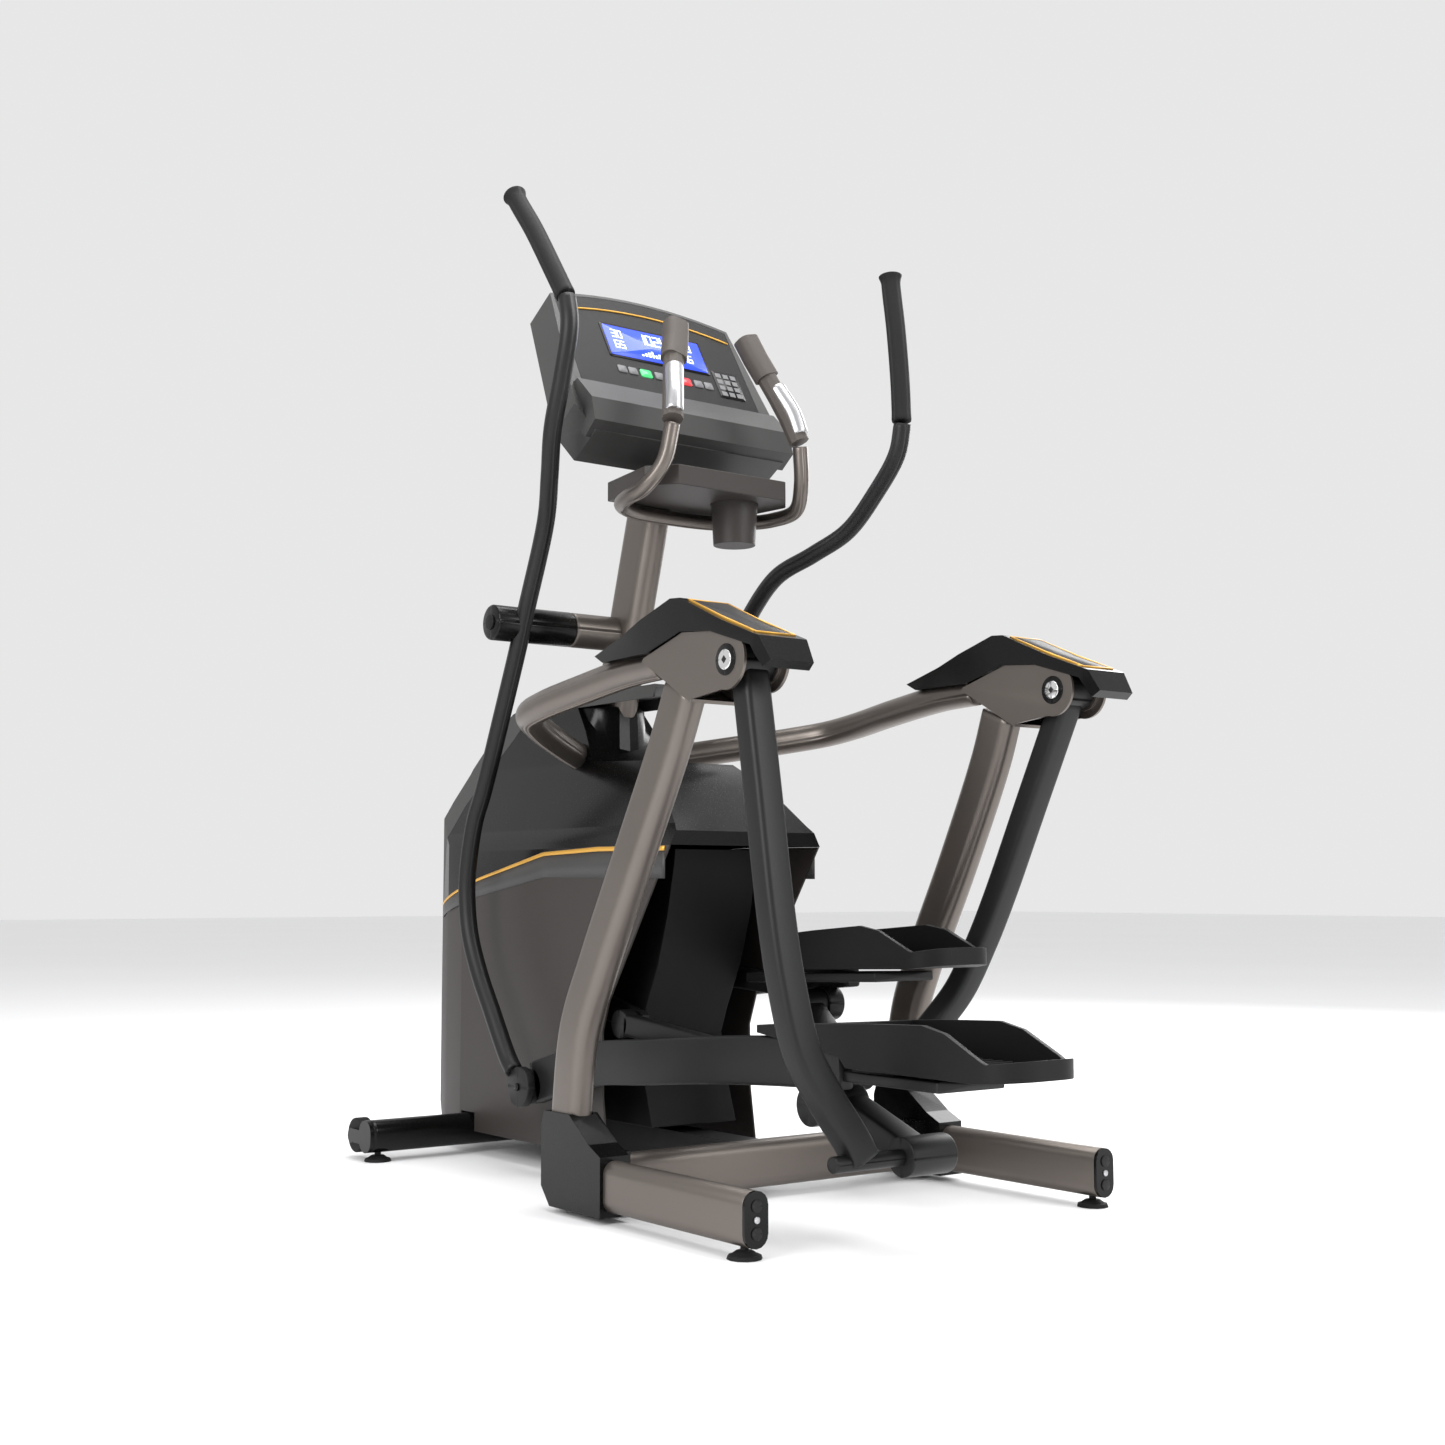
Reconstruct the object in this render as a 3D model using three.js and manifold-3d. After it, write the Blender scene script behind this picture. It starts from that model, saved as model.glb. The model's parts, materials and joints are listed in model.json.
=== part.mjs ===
// Elliptical trainer with suspended foot links, millimetres.
// +Z is up, +Y is the front (the drive casing) and +X is the user's right.
// The left side is modelled as it stands; the right side is its mirror, half a turn of the crank later.
import * as THREE from "three";
import { mergeVertices } from "three/addons/utils/BufferGeometryUtils.js";
import Module from "manifold-3d";

const wasm = await Module();
wasm.setup();

// ---- driving dimensions ----
const fit = 0.3; // clearance between pieces that touch or turn in each other
const footTrack = 358; // centre line of the floor tubes, either side
const rearFootEnd = -409; // rear end of the floor tubes
const legFoot = 85; // where the rear leg stands on the floor tube
const crossTubeY = 14;
const frontTubeY = 775;
const floorTube = { width: 42, height: 80, wall: 3, low: 17 };
const frontTube = { depth: 50, height: 61, wall: 3, low: 17 };
const levellingFoot = { radius: 26, neck: 12, height: 12, stem: 6, stemTop: 46, inset: 28 };
const wheel = { radius: 33, width: 26, axle: 6, ahead: 61, centreZ: 44 };

const shoulder = { x: 339, y: -368, z: 847 };
const bracket = { halfWidth: 42, plate: 5, boss: 5, round: 44, recess: 23 };
const shoulderAxle = 10; // radius
const swingLength = 722; // shoulder axle to lower cross axle
const swingRest = -9.7; // degrees forward of straight down, left side
const swingPhase = 36.2; // degrees by which the right side is ahead
const liftRatio = -0.43; // degrees the lift link turns on the swing arm for each degree of swing
const swingSleeve = 27; // radius
const swingBar = { width: 48, depth: 42, round: 10 };
const lowerAxle = { radius: 12, tube: 29, outer: 288, tubeOuter: 160, tubeInner: 75 };
const strut = { reach: 160, rise: 60, width: 56, depth: 40 }; // from lower axle to the foot link pivot
const linkPivot = { boss: 27, pin: 10, outer: 164, reach: 198 };

const hub = { y: 472, z: 1008, radius: 33, axle: 12.5, inner: 127, outer: 294 };
const armX = 240; // plane of the handle arm below the hub
const armTube = 16.5; // radius
const armFoot = { y: 440, z: 161 }; // lower pivot of the left handle arm
const armPlate = { thickness: 8, round: 36 };
const armPin = 5; // radius
const linkBar = { width: 26, height: 76, round: 6, frontX: 206, rearX: 186 };
const linkEye = { round: 32, bore: 18 };
const driveBar = { x: 136, width: 28, height: 38 };
const driveEye = { y: 258, z: 280, round: 25, bore: 12 };
const crank = { arm: 14, width: 46, x: 105, pin: 9, pinReach: 6, axle: 12.5 };
const pulley = { radius: 150, x: 46, width: 16 };
const flywheel = { y: 842, z: 330, radius: 108, width: 44, axle: 10, pulley: 28 };
const belt = 3; // thickness

const mast = {
  width: 55,
  depth: 100,
  wall: 4,
  lean: -0.3012,
  passesY: 446,
  passesZ: 1047,
  foot: 700,
  top: 1420,
};
const upright = { width: 60, depth: 90 };
const rail = { halfWidth: 30, low: 25, top: 85 };
const topTube = 25; // radius
const casing = { halfWidth: 165, wall: 3.5, low: 45, stripe: 592, noseLength: 240, front: 1048 };
const hood = { halfWidth: 72, low: 866, top: 890 };
const collar = 72; // radius of the mast collar
const rearCover = { halfWidth: 92, top: 588 };

const consolePlace = { y: 350, z: 1517, lean: 30 }; // lower edge of the display and tilt in degrees
const panel = { halfWidth: 205, low: -93, thickness: 4 };
const display = { halfWidth: 114, low: 0, top: 82 };
const key = { width: 26, height: 20, centreZ: -34, offsetX: 46, rise: 1 };
const tray = { halfWidth: 160, rear: 120, front: 320, low: 1228, height: 36, wall: 4 };
const cup = { x: 66, y: 205, radius: 44, depth: 84, wall: 3 };
const bar = 14; // radius of the fixed handlebar
const gripSleeve = 19; // radius of the rubber and pulse grips

// ---- finishes ----
const finish = (color, metalness, roughness) =>
  new THREE.MeshStandardMaterial({ color, metalness, roughness });
const gunmetal = () => finish(0x6f6a66, 0.7, 0.42);
const blackSteel = () => finish(0x1b1b1c, 0.5, 0.5);
const blackPlastic = () => finish(0x111112, 0, 0.45);
const brownPlastic = () => finish(0x3d3936, 0.1, 0.5);
const rubber = () => finish(0x161616, 0, 0.85);
const chrome = () => finish(0xc8c8ca, 1, 0.15);

// ---- solids ----
const solidOf = (geometry) => {
  const closed = geometry.clone();
  closed.deleteAttribute("normal");
  closed.deleteAttribute("uv");
  const merged = mergeVertices(closed, 1e-3);
  const mesh = new wasm.Mesh({
    numProp: 3,
    vertProperties: new Float32Array(merged.attributes.position.array),
    triVerts: new Uint32Array(merged.index.array),
  });
  return new wasm.Manifold(mesh);
};
const geometryOf = (solid) => {
  const mesh = solid.getMesh();
  const geometry = new THREE.BufferGeometry();
  geometry.setAttribute("position", new THREE.BufferAttribute(mesh.vertProperties, 3));
  geometry.setIndex(new THREE.BufferAttribute(mesh.triVerts, 1));
  return geometry;
};
const join = (...solids) => solids.reduce((all, one) => all.add(one));
const cut = (solid, ...tools) => tools.reduce((rest, tool) => rest.subtract(tool), solid);

const box = (x0, x1, y0, y1, z0, z1) =>
  solidOf(
    new THREE.BoxGeometry(x1 - x0, y1 - y0, z1 - z0).translate((x0 + x1) / 2, (y0 + y1) / 2, (z0 + z1) / 2),
  );
// A cylinder along X between x0 and x1.
const rodX = (y, z, radius, x0, x1, sides = 12) =>
  solidOf(
    new THREE.CylinderGeometry(radius, radius, Math.abs(x1 - x0), sides)
      .rotateZ(Math.PI / 2)
      .translate((x0 + x1) / 2, y, z),
  );
// A hole along X for a round piece of a given radius to turn in, clear of it at its flats too.
const boreX = (y, z, radius, x0, x1, sides = 12) =>
  rodX(y, z, (radius + fit) / Math.cos(Math.PI / sides), x0, x1, sides);
// A cone or cylinder along Z, with its radius at each end.
const coneZ = (x, y, z0, z1, lowRadius, topRadius, sides = 12) =>
  solidOf(
    new THREE.CylinderGeometry(topRadius, lowRadius, z1 - z0, sides)
      .rotateX(Math.PI / 2)
      .translate(x, y, (z0 + z1) / 2),
  );
const shapeOf = (points) => new THREE.Shape(points.map(([a, b]) => new THREE.Vector2(a, b)));
// A side outline in (y, z), made solid between x0 and x1.
const sideSolid = (shape, x0, x1, curveSegments = 12) => {
  const geometry = new THREE.ExtrudeGeometry(shape, { depth: x1 - x0, bevelEnabled: false, curveSegments });
  const turn = new THREE.Matrix4().makeBasis(
    new THREE.Vector3(0, 1, 0),
    new THREE.Vector3(0, 0, 1),
    new THREE.Vector3(1, 0, 0),
  );
  return solidOf(geometry.applyMatrix4(turn).translate(x0, 0, 0));
};
// A plan outline in (x, y), made solid between z0 and z1.
const planSolid = (shape, z0, z1, curveSegments = 12) =>
  solidOf(
    new THREE.ExtrudeGeometry(shape, { depth: z1 - z0, bevelEnabled: false, curveSegments })
      .translate(0, 0, z0),
  );
// A front outline in (x, z), made solid between y0 and y1.
const frontSolid = (shape, y0, y1, curveSegments = 12) => {
  const geometry = new THREE.ExtrudeGeometry(shape, { depth: y1 - y0, bevelEnabled: false, curveSegments });
  return solidOf(geometry.rotateX(Math.PI / 2).translate(0, y1, 0));
};
const roundedRect = (width, height, radius) => {
  const [a, b] = [width / 2, height / 2];
  const shape = new THREE.Shape();
  shape.absarc(a - radius, b - radius, radius, 0, Math.PI / 2);
  shape.absarc(radius - a, b - radius, radius, Math.PI / 2, Math.PI);
  shape.absarc(radius - a, radius - b, radius, Math.PI, 1.5 * Math.PI);
  shape.absarc(a - radius, radius - b, radius, 1.5 * Math.PI, 2 * Math.PI);
  shape.closePath();
  return shape;
};
const disc = (radius) => new THREE.Shape().absarc(0, 0, radius, 0, 2 * Math.PI);
const vectors = (points) => points.map(([x, y, z]) => new THREE.Vector3(x, y, z));
const smooth = (points) => new THREE.CatmullRomCurve3(vectors(points), false, "centripetal");
const sweep = (shape, path, steps, curveSegments = 3) =>
  solidOf(
    new THREE.ExtrudeGeometry(shape, { extrudePath: path, steps, curveSegments, bevelEnabled: false }),
  );
// A hollow bar: the section with a smaller one taken out, open at both ends.
const hollow = (width, height, round, wall) => {
  const shape = roundedRect(width, height, round);
  shape.holes.push(roundedRect(width - 2 * wall, height - 2 * wall, Math.max(round - wall, 1)));
  return shape;
};

// ---- linkage, in the (y, z) plane ----
const radians = THREE.MathUtils.degToRad;
const turnAbout = (point, centre, angle) => {
  const [dy, dz] = [point.y - centre.y, point.z - centre.z];
  return {
    y: centre.y + dy * Math.cos(angle) - dz * Math.sin(angle),
    z: centre.z + dy * Math.sin(angle) + dz * Math.cos(angle),
  };
};
const distance = (a, b) => Math.hypot(a.y - b.y, a.z - b.z);
const lowerAxleAt = {
  y: shoulder.y + swingLength * Math.sin(radians(swingRest)),
  z: shoulder.z - swingLength * Math.cos(radians(swingRest)),
};
const linkPivotAt = { y: lowerAxleAt.y + strut.reach, z: lowerAxleAt.z + strut.rise };
const linkLength = distance(linkPivotAt, armFoot);
const armLength = distance(hub, armFoot);
// The handle arm's lower pivot when the foot link's rear pivot is at a given point.
const closeLinkage = (rear) => {
  const span = distance(rear, hub);
  const along = (linkLength ** 2 - armLength ** 2 + span ** 2) / (2 * span);
  const aside = Math.sqrt(linkLength ** 2 - along ** 2);
  const [uy, uz] = [(hub.y - rear.y) / span, (hub.z - rear.z) / span];
  return { y: rear.y + along * uy + aside * uz, z: rear.z + along * uz - aside * uy };
};
const angleOf = (from, to) => Math.atan2(to.z - from.z, to.y - from.y);
const rightAxle = turnAbout(lowerAxleAt, shoulder, radians(swingPhase));
const liftTurn = radians(swingPhase) * (1 + liftRatio);
const strutTurned = turnAbout(linkPivotAt, lowerAxleAt, liftTurn);
const rightPivot = {
  y: strutTurned.y + rightAxle.y - lowerAxleAt.y,
  z: strutTurned.z + rightAxle.z - lowerAxleAt.z,
};
const rightArmFoot = closeLinkage(rightPivot);
const rightLinkTurn = angleOf(rightPivot, rightArmFoot) - angleOf(linkPivotAt, armFoot);
const rightArmTurn = angleOf(hub, rightArmFoot) - angleOf(hub, armFoot);
const carried = turnAbout(driveEye, linkPivotAt, rightLinkTurn);
const rightEye = {
  y: carried.y + rightPivot.y - linkPivotAt.y,
  z: carried.z + rightPivot.z - linkPivotAt.z,
};
const crankAt = { y: (driveEye.y + rightEye.y) / 2, z: (driveEye.z + rightEye.z) / 2 };
const crankThrow = distance(crankAt, driveEye);
const crankAngle = angleOf(crankAt, driveEye);

// ---- scene graph ----
const trainer = new THREE.Group();
const still = new THREE.Group();
trainer.add(still);
const place = (parent, name, solid, material) => {
  const mesh = new THREE.Mesh(geometryOf(solid), material);
  mesh.name = name;
  parent.add(mesh);
};
// A group whose contents are drawn at rest on the left and stand turned and shifted here.
const carrier = (parent, from, to, angle) => {
  const outer = new THREE.Group();
  const inner = new THREE.Group();
  outer.position.set(0, to.y, to.z);
  outer.rotation.x = angle;
  inner.position.set(0, -from.y, -from.z);
  outer.add(inner);
  parent.add(outer);
  return inner;
};

// ---- frame ----
const floorMid = floorTube.low + floorTube.height / 2;
const floorTop = floorTube.low + floorTube.height;
const frontMid = frontTube.low + frontTube.height / 2;
const floorRound = floorTube.width / 2 - 0.5;
const frontRound = frontTube.depth / 2 - 2;
const frontHalf = footTrack + 20;
const mastY = (z) => mast.passesY + mast.lean * (z - mast.passesZ);
const floorTubePath = new THREE.LineCurve3(
  new THREE.Vector3(-footTrack, rearFootEnd + 6, floorMid),
  new THREE.Vector3(-footTrack, legFoot + 40, floorMid),
);
const footHole = (y, x = -footTrack) => {
  const radius = levellingFoot.stem + fit;
  return coneZ(x, y, 0, floorTube.low + 12, radius, radius, 12);
};
const rearFootY = rearFootEnd + levellingFoot.inset;
const floorTubeSolid = cut(
  sweep(hollow(floorTube.height, floorTube.width, floorRound, floorTube.wall), floorTubePath, 1, 2),
  footHole(rearFootY),
);
const crossHalf = footTrack - floorTube.width / 2 - fit;
const crossTube = sweep(
  hollow(floorTube.height, floorTube.width, floorRound, floorTube.wall),
  new THREE.LineCurve3(
    new THREE.Vector3(-crossHalf, crossTubeY, floorMid),
    new THREE.Vector3(crossHalf, crossTubeY, floorMid),
  ),
  1,
  2,
);
const frontTubeSolid = cut(
  sweep(
    hollow(frontTube.height, frontTube.depth, frontRound, frontTube.wall),
    new THREE.LineCurve3(
      new THREE.Vector3(-frontHalf, frontTubeY, frontMid),
      new THREE.Vector3(frontHalf, frontTubeY, frontMid),
    ),
    1,
    2,
  ),
  footHole(frontTubeY),
  footHole(frontTubeY, footTrack),
);
place(still, "rear_cross_tube", crossTube, gunmetal());
place(still, "front_foot_tube", frontTubeSolid, blackSteel());

// The centre rail, the upright in line with the mast, and the brackets of the drive.
const uprightFoot = rail.top - 4;
const uprightTop = mast.foot - fit;
const railSolid = box(
  -rail.halfWidth, rail.halfWidth,
  crossTubeY + floorTube.width / 2 + fit, frontTubeY - frontTube.depth / 2 - fit,
  rail.low, rail.top,
);
const uprightSolid = sweep(
  roundedRect(upright.width, upright.depth, 6),
  new THREE.LineCurve3(
    new THREE.Vector3(0, mastY(uprightFoot), uprightFoot),
    new THREE.Vector3(0, mastY(uprightTop), uprightTop),
  ),
  1,
);
const uprightAtCrank = mastY(crankAt.z);
const crankGusset = sideSolid(
  shapeOf([
    [crankAt.y, crankAt.z - 24],
    [uprightAtCrank, crankAt.z - 60],
    [uprightAtCrank, crankAt.z + 60],
    [crankAt.y, crankAt.z + 24],
  ]),
  -12, 12,
);
const flywheelCheek = (x) =>
  sideSolid(
    shapeOf([
      [mastY(flywheel.z), flywheel.z - 40],
      [flywheel.y + 12, flywheel.z - 14],
      [flywheel.y + 12, flywheel.z + 14],
      [mastY(flywheel.z), flywheel.z + 40],
    ]),
    x, x + 6,
  );
const cheekX = flywheel.width / 2 + 5;
const frameSolid = cut(
  join(
    railSolid,
    cut(uprightSolid, box(-200, 200, mastY(0) - 200, 2000, 0, rail.low)),
    rodX(crankAt.y, crankAt.z, 28, -34, 34),
    crankGusset,
    flywheelCheek(cheekX),
    flywheelCheek(-cheekX - 6),
  ),
  boreX(crankAt.y, crankAt.z, crank.axle, -40, 40),
  boreX(flywheel.y, flywheel.z, flywheel.axle, -60, 60),
  box(-200, 200, frontTubeY - frontTube.depth / 2 - fit, 2000, 0, frontTube.low + frontTube.height + fit),
);
place(still, "main_frame", frameSolid, blackSteel());

// The mast, with the cross housing of the handle arm axle.
const consoleFrame = new THREE.Matrix4()
  .makeRotationX(-radians(consolePlace.lean))
  .setPosition(0, consolePlace.y, consolePlace.z);
const consoleOutline = (grow) => {
  const shape = new THREE.Shape();
  shape.moveTo(-207 - grow, 138 + grow);
  shape.lineTo(-240 - grow, -150);
  shape.lineTo(-214, -209 - grow);
  shape.lineTo(214, -209 - grow);
  shape.lineTo(240 + grow, -150);
  shape.lineTo(207 + grow, 138 + grow);
  shape.quadraticCurveTo(0, 192 + grow, -207 - grow, 138 + grow);
  return shape;
};
const placed = (geometry) => solidOf(geometry.applyMatrix4(consoleFrame));
// A front outline of the console in its own tilted frame, between two depths.
const consoleSlab = (shape, y0, y1, curveSegments = 12) =>
  placed(
    new THREE.ExtrudeGeometry(shape, { depth: y1 - y0, bevelEnabled: false, curveSegments })
      .rotateX(Math.PI / 2)
      .translate(0, y1, 0),
  );
const consoleDepth = 84;
const consoleChin = (grow) => {
  const shape = shapeOf([
    [6, panel.low],
    [-14 - grow, panel.low - 4],
    [-34 - grow, -160],
    [-22 - grow, -204 - grow],
    [20, -209 - grow],
    [40, -150],
  ]);
  const geometry = new THREE.ExtrudeGeometry(shape, { depth: 2 * (226 + grow), bevelEnabled: false });
  const turn = new THREE.Matrix4().makeBasis(
    new THREE.Vector3(0, 1, 0),
    new THREE.Vector3(0, 0, 1),
    new THREE.Vector3(1, 0, 0),
  );
  return placed(geometry.applyMatrix4(turn).translate(-226 - grow, 0, 0));
};
const mastLine = (z0, z1) =>
  new THREE.LineCurve3(new THREE.Vector3(0, mastY(z0), z0), new THREE.Vector3(0, mastY(z1), z1));
const mastSolid = cut(
  join(
    cut(
      sweep(
        hollow(mast.width, mast.depth, mast.width / 2 - 1, mast.wall),
        mastLine(mast.foot, mast.top),
        1,
        2,
      ),
      rodX(hub.y, hub.z, hub.radius - 1, -mast.width, mast.width),
    ),
    rodX(hub.y, hub.z, hub.radius, -hub.inner + fit, hub.inner - fit, 14),
  ),
  boreX(hub.y, hub.z, hub.axle, -hub.outer, hub.outer),
);
place(still, "mast", mastSolid, gunmetal());
place(still, "arm_axle", rodX(hub.y, hub.z, hub.axle, -hub.outer + 12, hub.outer - 12), chrome());

// ---- left side pieces, drawn once and used for both sides ----
const baseLine = { front: [-155, 870], rear: [-282, 797] };
const baseMid = [(baseLine.front[0] + baseLine.rear[0]) / 2, (baseLine.front[1] + baseLine.rear[1]) / 2];
const baseNormal = [0.498, -0.867];
const basePlate = 6;
const plateTop = [baseNormal[0] * (basePlate + fit), baseNormal[1] * (basePlate + fit)];
const legTop = [baseMid[0] + plateTop[0], baseMid[1] + plateTop[1]];
const legPath = smooth([
  [-footTrack, legFoot, floorTop + fit],
  [-footTrack, legFoot - 6, 155],
  [-footTrack, 57, 290],
  [-footTrack + 4, 8, 396],
  [-350, -82, 560],
  [-343, -176, 740],
  [-shoulder.x, legTop[0], legTop[1]],
]);
const legSection = (grow) => roundedRect(45 + grow, 78 + grow, 14);
const rearLeg = cut(
  sweep(hollow(45, 78, 20, 3), legPath, 8, 1),
  box(-500, 0, -500, 500, 0, floorTop + fit),
  sideSolid(
    shapeOf([
      [baseLine.front[0] + 40 + plateTop[0], baseLine.front[1] + 23 + plateTop[1]],
      [baseLine.rear[0] - 60 + plateTop[0], baseLine.rear[1] - 34.5 + plateTop[1]],
      [-400, 900],
      [-150, 980],
    ].reverse()),
    -450, -250,
  ),
);

// The shoulder bracket: two side plates with a round rear end, a bent base plate and a cross web.
const plateShape = (grow = 0) => {
  const shape = new THREE.Shape();
  shape.moveTo(baseLine.front[0] + grow, baseLine.front[1] + grow);
  shape.lineTo(-258, 899 + 1.5 * grow);
  shape.absarc(shoulder.y, shoulder.z, bracket.round + grow, radians(82), radians(285));
  shape.lineTo(baseLine.rear[0], baseLine.rear[1] - grow);
  shape.closePath();
  return shape;
};
const sideX = [-shoulder.x - bracket.halfWidth, -shoulder.x + bracket.halfWidth];
const inner = bracket.halfWidth - bracket.plate;
const bossInner = inner - bracket.boss;
const strip = (from, to, normal, thickness) =>
  shapeOf([
    from,
    to,
    [to[0] + normal[0] * thickness, to[1] + normal[1] * thickness],
    [from[0] + normal[0] * thickness, from[1] + normal[1] * thickness],
  ].reverse());
const shoulderBracket = cut(
  join(
    sideSolid(plateShape(), sideX[0], -shoulder.x - inner),
    sideSolid(plateShape(), -shoulder.x + inner, sideX[1]),
    rodX(shoulder.y, shoulder.z, 32, -shoulder.x - inner - 1, -shoulder.x - bossInner),
    rodX(shoulder.y, shoulder.z, 32, -shoulder.x + bossInner, -shoulder.x + inner + 1),
    sideSolid(strip(baseLine.front, baseLine.rear, baseNormal, basePlate), sideX[0], sideX[1]),
    sideSolid(shapeOf([[-252, 890], [-266, 890], [-240, 822], [-226, 830]]), sideX[0] + 1, sideX[1] - 1),
  ),
  boreX(shoulder.y, shoulder.z, shoulderAxle, -500, -200),
  rodX(shoulder.y, shoulder.z, bracket.recess, -500, -shoulder.x - inner, 14),
  rodX(shoulder.y, shoulder.z, bracket.recess, -shoulder.x + inner, -200, 14),
);
const axleHead = bracket.recess - 4;
const shoulderAxleSolid = join(
  rodX(
    shoulder.y,
    shoulder.z,
    shoulderAxle,
    -shoulder.x - bracket.halfWidth,
    -shoulder.x + bracket.halfWidth,
  ),
  rodX(shoulder.y, shoulder.z, axleHead, -shoulder.x - bracket.halfWidth, -shoulder.x - inner - fit),
  rodX(shoulder.y, shoulder.z, axleHead, -shoulder.x + inner + fit, -shoulder.x + bracket.halfWidth),
);

// The moulded cap over the bracket, from the tip on the top tube to the lip behind the axle.
const capShape = (inset) =>
  shapeOf([
    [8 - inset * 5, 891],
    [-20, 878],
    [-120, 877],
    [-170, 876],
    [-258, 900],
    [-330, 893],
    [-430, 862],
    [-455, 828],
    [-470 + inset, 838],
    [-448 + inset, 874 - inset],
    [-364, 905 - inset],
    [-258, 951 - inset],
    [-232, 953 - inset],
    [-90, 912 - inset],
  ].reverse());
const capHalf = 46;
const capPlan = new THREE.Shape();
capPlan.moveTo(-shoulder.x - 26, 12);
capPlan.lineTo(-shoulder.x - capHalf, -150);
capPlan.lineTo(-shoulder.x - capHalf, -440);
capPlan.lineTo(-shoulder.x - 38, -475);
capPlan.lineTo(-shoulder.x + 38, -475);
capPlan.lineTo(-shoulder.x + capHalf, -440);
capPlan.lineTo(-shoulder.x + capHalf, -150);
capPlan.lineTo(-shoulder.x + 26, 12);
capPlan.closePath();
const topTubePath = smooth([
  [-shoulder.x, -150, 888 - 22],
  [-shoulder.x, -60, 862],
  [-342, 80, 845],
  [-346, 190, 829],
  [-334, 262, 818],
  [-290, 318, 807],
  [-180, 420, 786],
  [-90, 492, 769],
  [-upright.width / 2 - 36, 512, 765],
]);
const topTubeOuter = sweep(disc(topTube), topTubePath, 14, 5);
const topTubeSpace = (grow) => sweep(disc(topTube + grow), topTubePath, 14, 5);
const boltedSpace = sideSolid(plateShape(fit), sideX[0] - fit, sideX[1] + fit);
const shoulderCap = cut(
  sideSolid(capShape(0), -shoulder.x - 60, -shoulder.x + 60).intersect(planSolid(capPlan, 700, 1000)),
  boltedSpace,
  topTubeSpace(1),
);
const topTubeSolid = cut(
  topTubeOuter,
  sideSolid(plateShape(), sideX[0] - 5, sideX[1] + 5),
  sideSolid(strip(baseLine.front, baseLine.rear, baseNormal, basePlate + 1), sideX[0] - 5, sideX[1] + 5),
);

// Floor boot over the joint of leg, floor tube and cross tube.
const boot = { width: 54, rear: -48, front: 128, low: 10, top: 160 };
const bootForm = join(
  sideSolid(
    shapeOf([
      [boot.rear, boot.low],
      [boot.front - 26, boot.low],
      [boot.front, boot.low + 30],
      [boot.front, boot.top - 22],
      [boot.front - 8, boot.top],
      [boot.front - 84, boot.top],
      [boot.rear + 34, floorTop + 22],
      [boot.rear, floorTop + 6],
    ]),
    -footTrack - boot.width / 2, -footTrack + boot.width / 2,
  ),
  box(
    -footTrack,
    -footTrack + boot.width / 2 + 26,
    crossTubeY - 27,
    crossTubeY + 27,
    floorTube.low - 6,
    floorTop + 6,
  ),
);
const floorSpace = (grow) =>
  sweep(
    roundedRect(floorTube.height + grow, floorTube.width + grow, floorRound),
    new THREE.LineCurve3(
      new THREE.Vector3(-footTrack, -500, floorMid),
      new THREE.Vector3(-footTrack, legFoot + 40 + grow, floorMid),
    ),
    1,
    2,
  );
const bootSolid = cut(
  bootForm,
  floorSpace(2 * fit),
  sweep(
    roundedRect(floorTube.height + 2 * fit, floorTube.width + 2 * fit, floorRound),
    new THREE.LineCurve3(
      new THREE.Vector3(-footTrack, crossTubeY, floorMid),
      new THREE.Vector3(0, crossTubeY, floorMid),
    ),
    1,
    2,
  ),
  sweep(legSection(2 * fit), legPath, 8, 1),
);

// End cap of a floor tube: a plate over the end with a plug that fits inside the tube.
const rearCap = join(
  sweep(
    roundedRect(floorTube.height, floorTube.width, floorRound),
    new THREE.LineCurve3(
      new THREE.Vector3(-footTrack, rearFootEnd, floorMid),
      new THREE.Vector3(-footTrack, rearFootEnd + 6 - fit, floorMid),
    ),
    1,
    2,
  ),
  sweep(
    roundedRect(floorTube.height - 2 * floorTube.wall - 1, floorTube.width - 2 * floorTube.wall - 1, 17),
    new THREE.LineCurve3(
      new THREE.Vector3(-footTrack, rearFootEnd + 3, floorMid),
      new THREE.Vector3(-footTrack, rearFootY - levellingFoot.stem - 3, floorMid),
    ),
    1,
    2,
  ),
);
const foot = (x, y) =>
  join(
    coneZ(x, y, 0, 6, levellingFoot.radius, levellingFoot.radius - 2),
    coneZ(x, y, 5, levellingFoot.height, levellingFoot.radius - 4, levellingFoot.neck),
    coneZ(x, y, levellingFoot.height - 1, levellingFoot.stemTop, levellingFoot.stem, levellingFoot.stem, 12),
  );

// Front end cap with the fork of the transport wheel.
const wheelY = frontTubeY + wheel.ahead;
const frontCap = cut(
  join(
    sweep(
      roundedRect(frontTube.height, frontTube.depth, frontRound),
      new THREE.LineCurve3(
        new THREE.Vector3(-frontHalf - fit, frontTubeY, frontMid),
        new THREE.Vector3(-frontHalf - 8, frontTubeY, frontMid),
      ),
      1,
      2,
    ),
    box(-frontHalf - 8, -frontHalf - fit, frontTubeY, wheelY, wheel.centreZ - 12, wheel.centreZ + 14),
    rodX(wheelY, wheel.centreZ, 14, -frontHalf - 8, -frontHalf - fit),
    rodX(wheelY, wheel.centreZ, wheel.axle, -frontHalf - 2, -frontHalf + wheel.width + 4, 14),
  ),
);
const wheelSolid = cut(
  rodX(wheelY, wheel.centreZ, wheel.radius, -frontHalf + 1, -frontHalf + 1 + wheel.width, 32),
  boreX(wheelY, wheel.centreZ, wheel.axle, -frontHalf - 5, -frontHalf + wheel.width + 5, 14),
);

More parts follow.
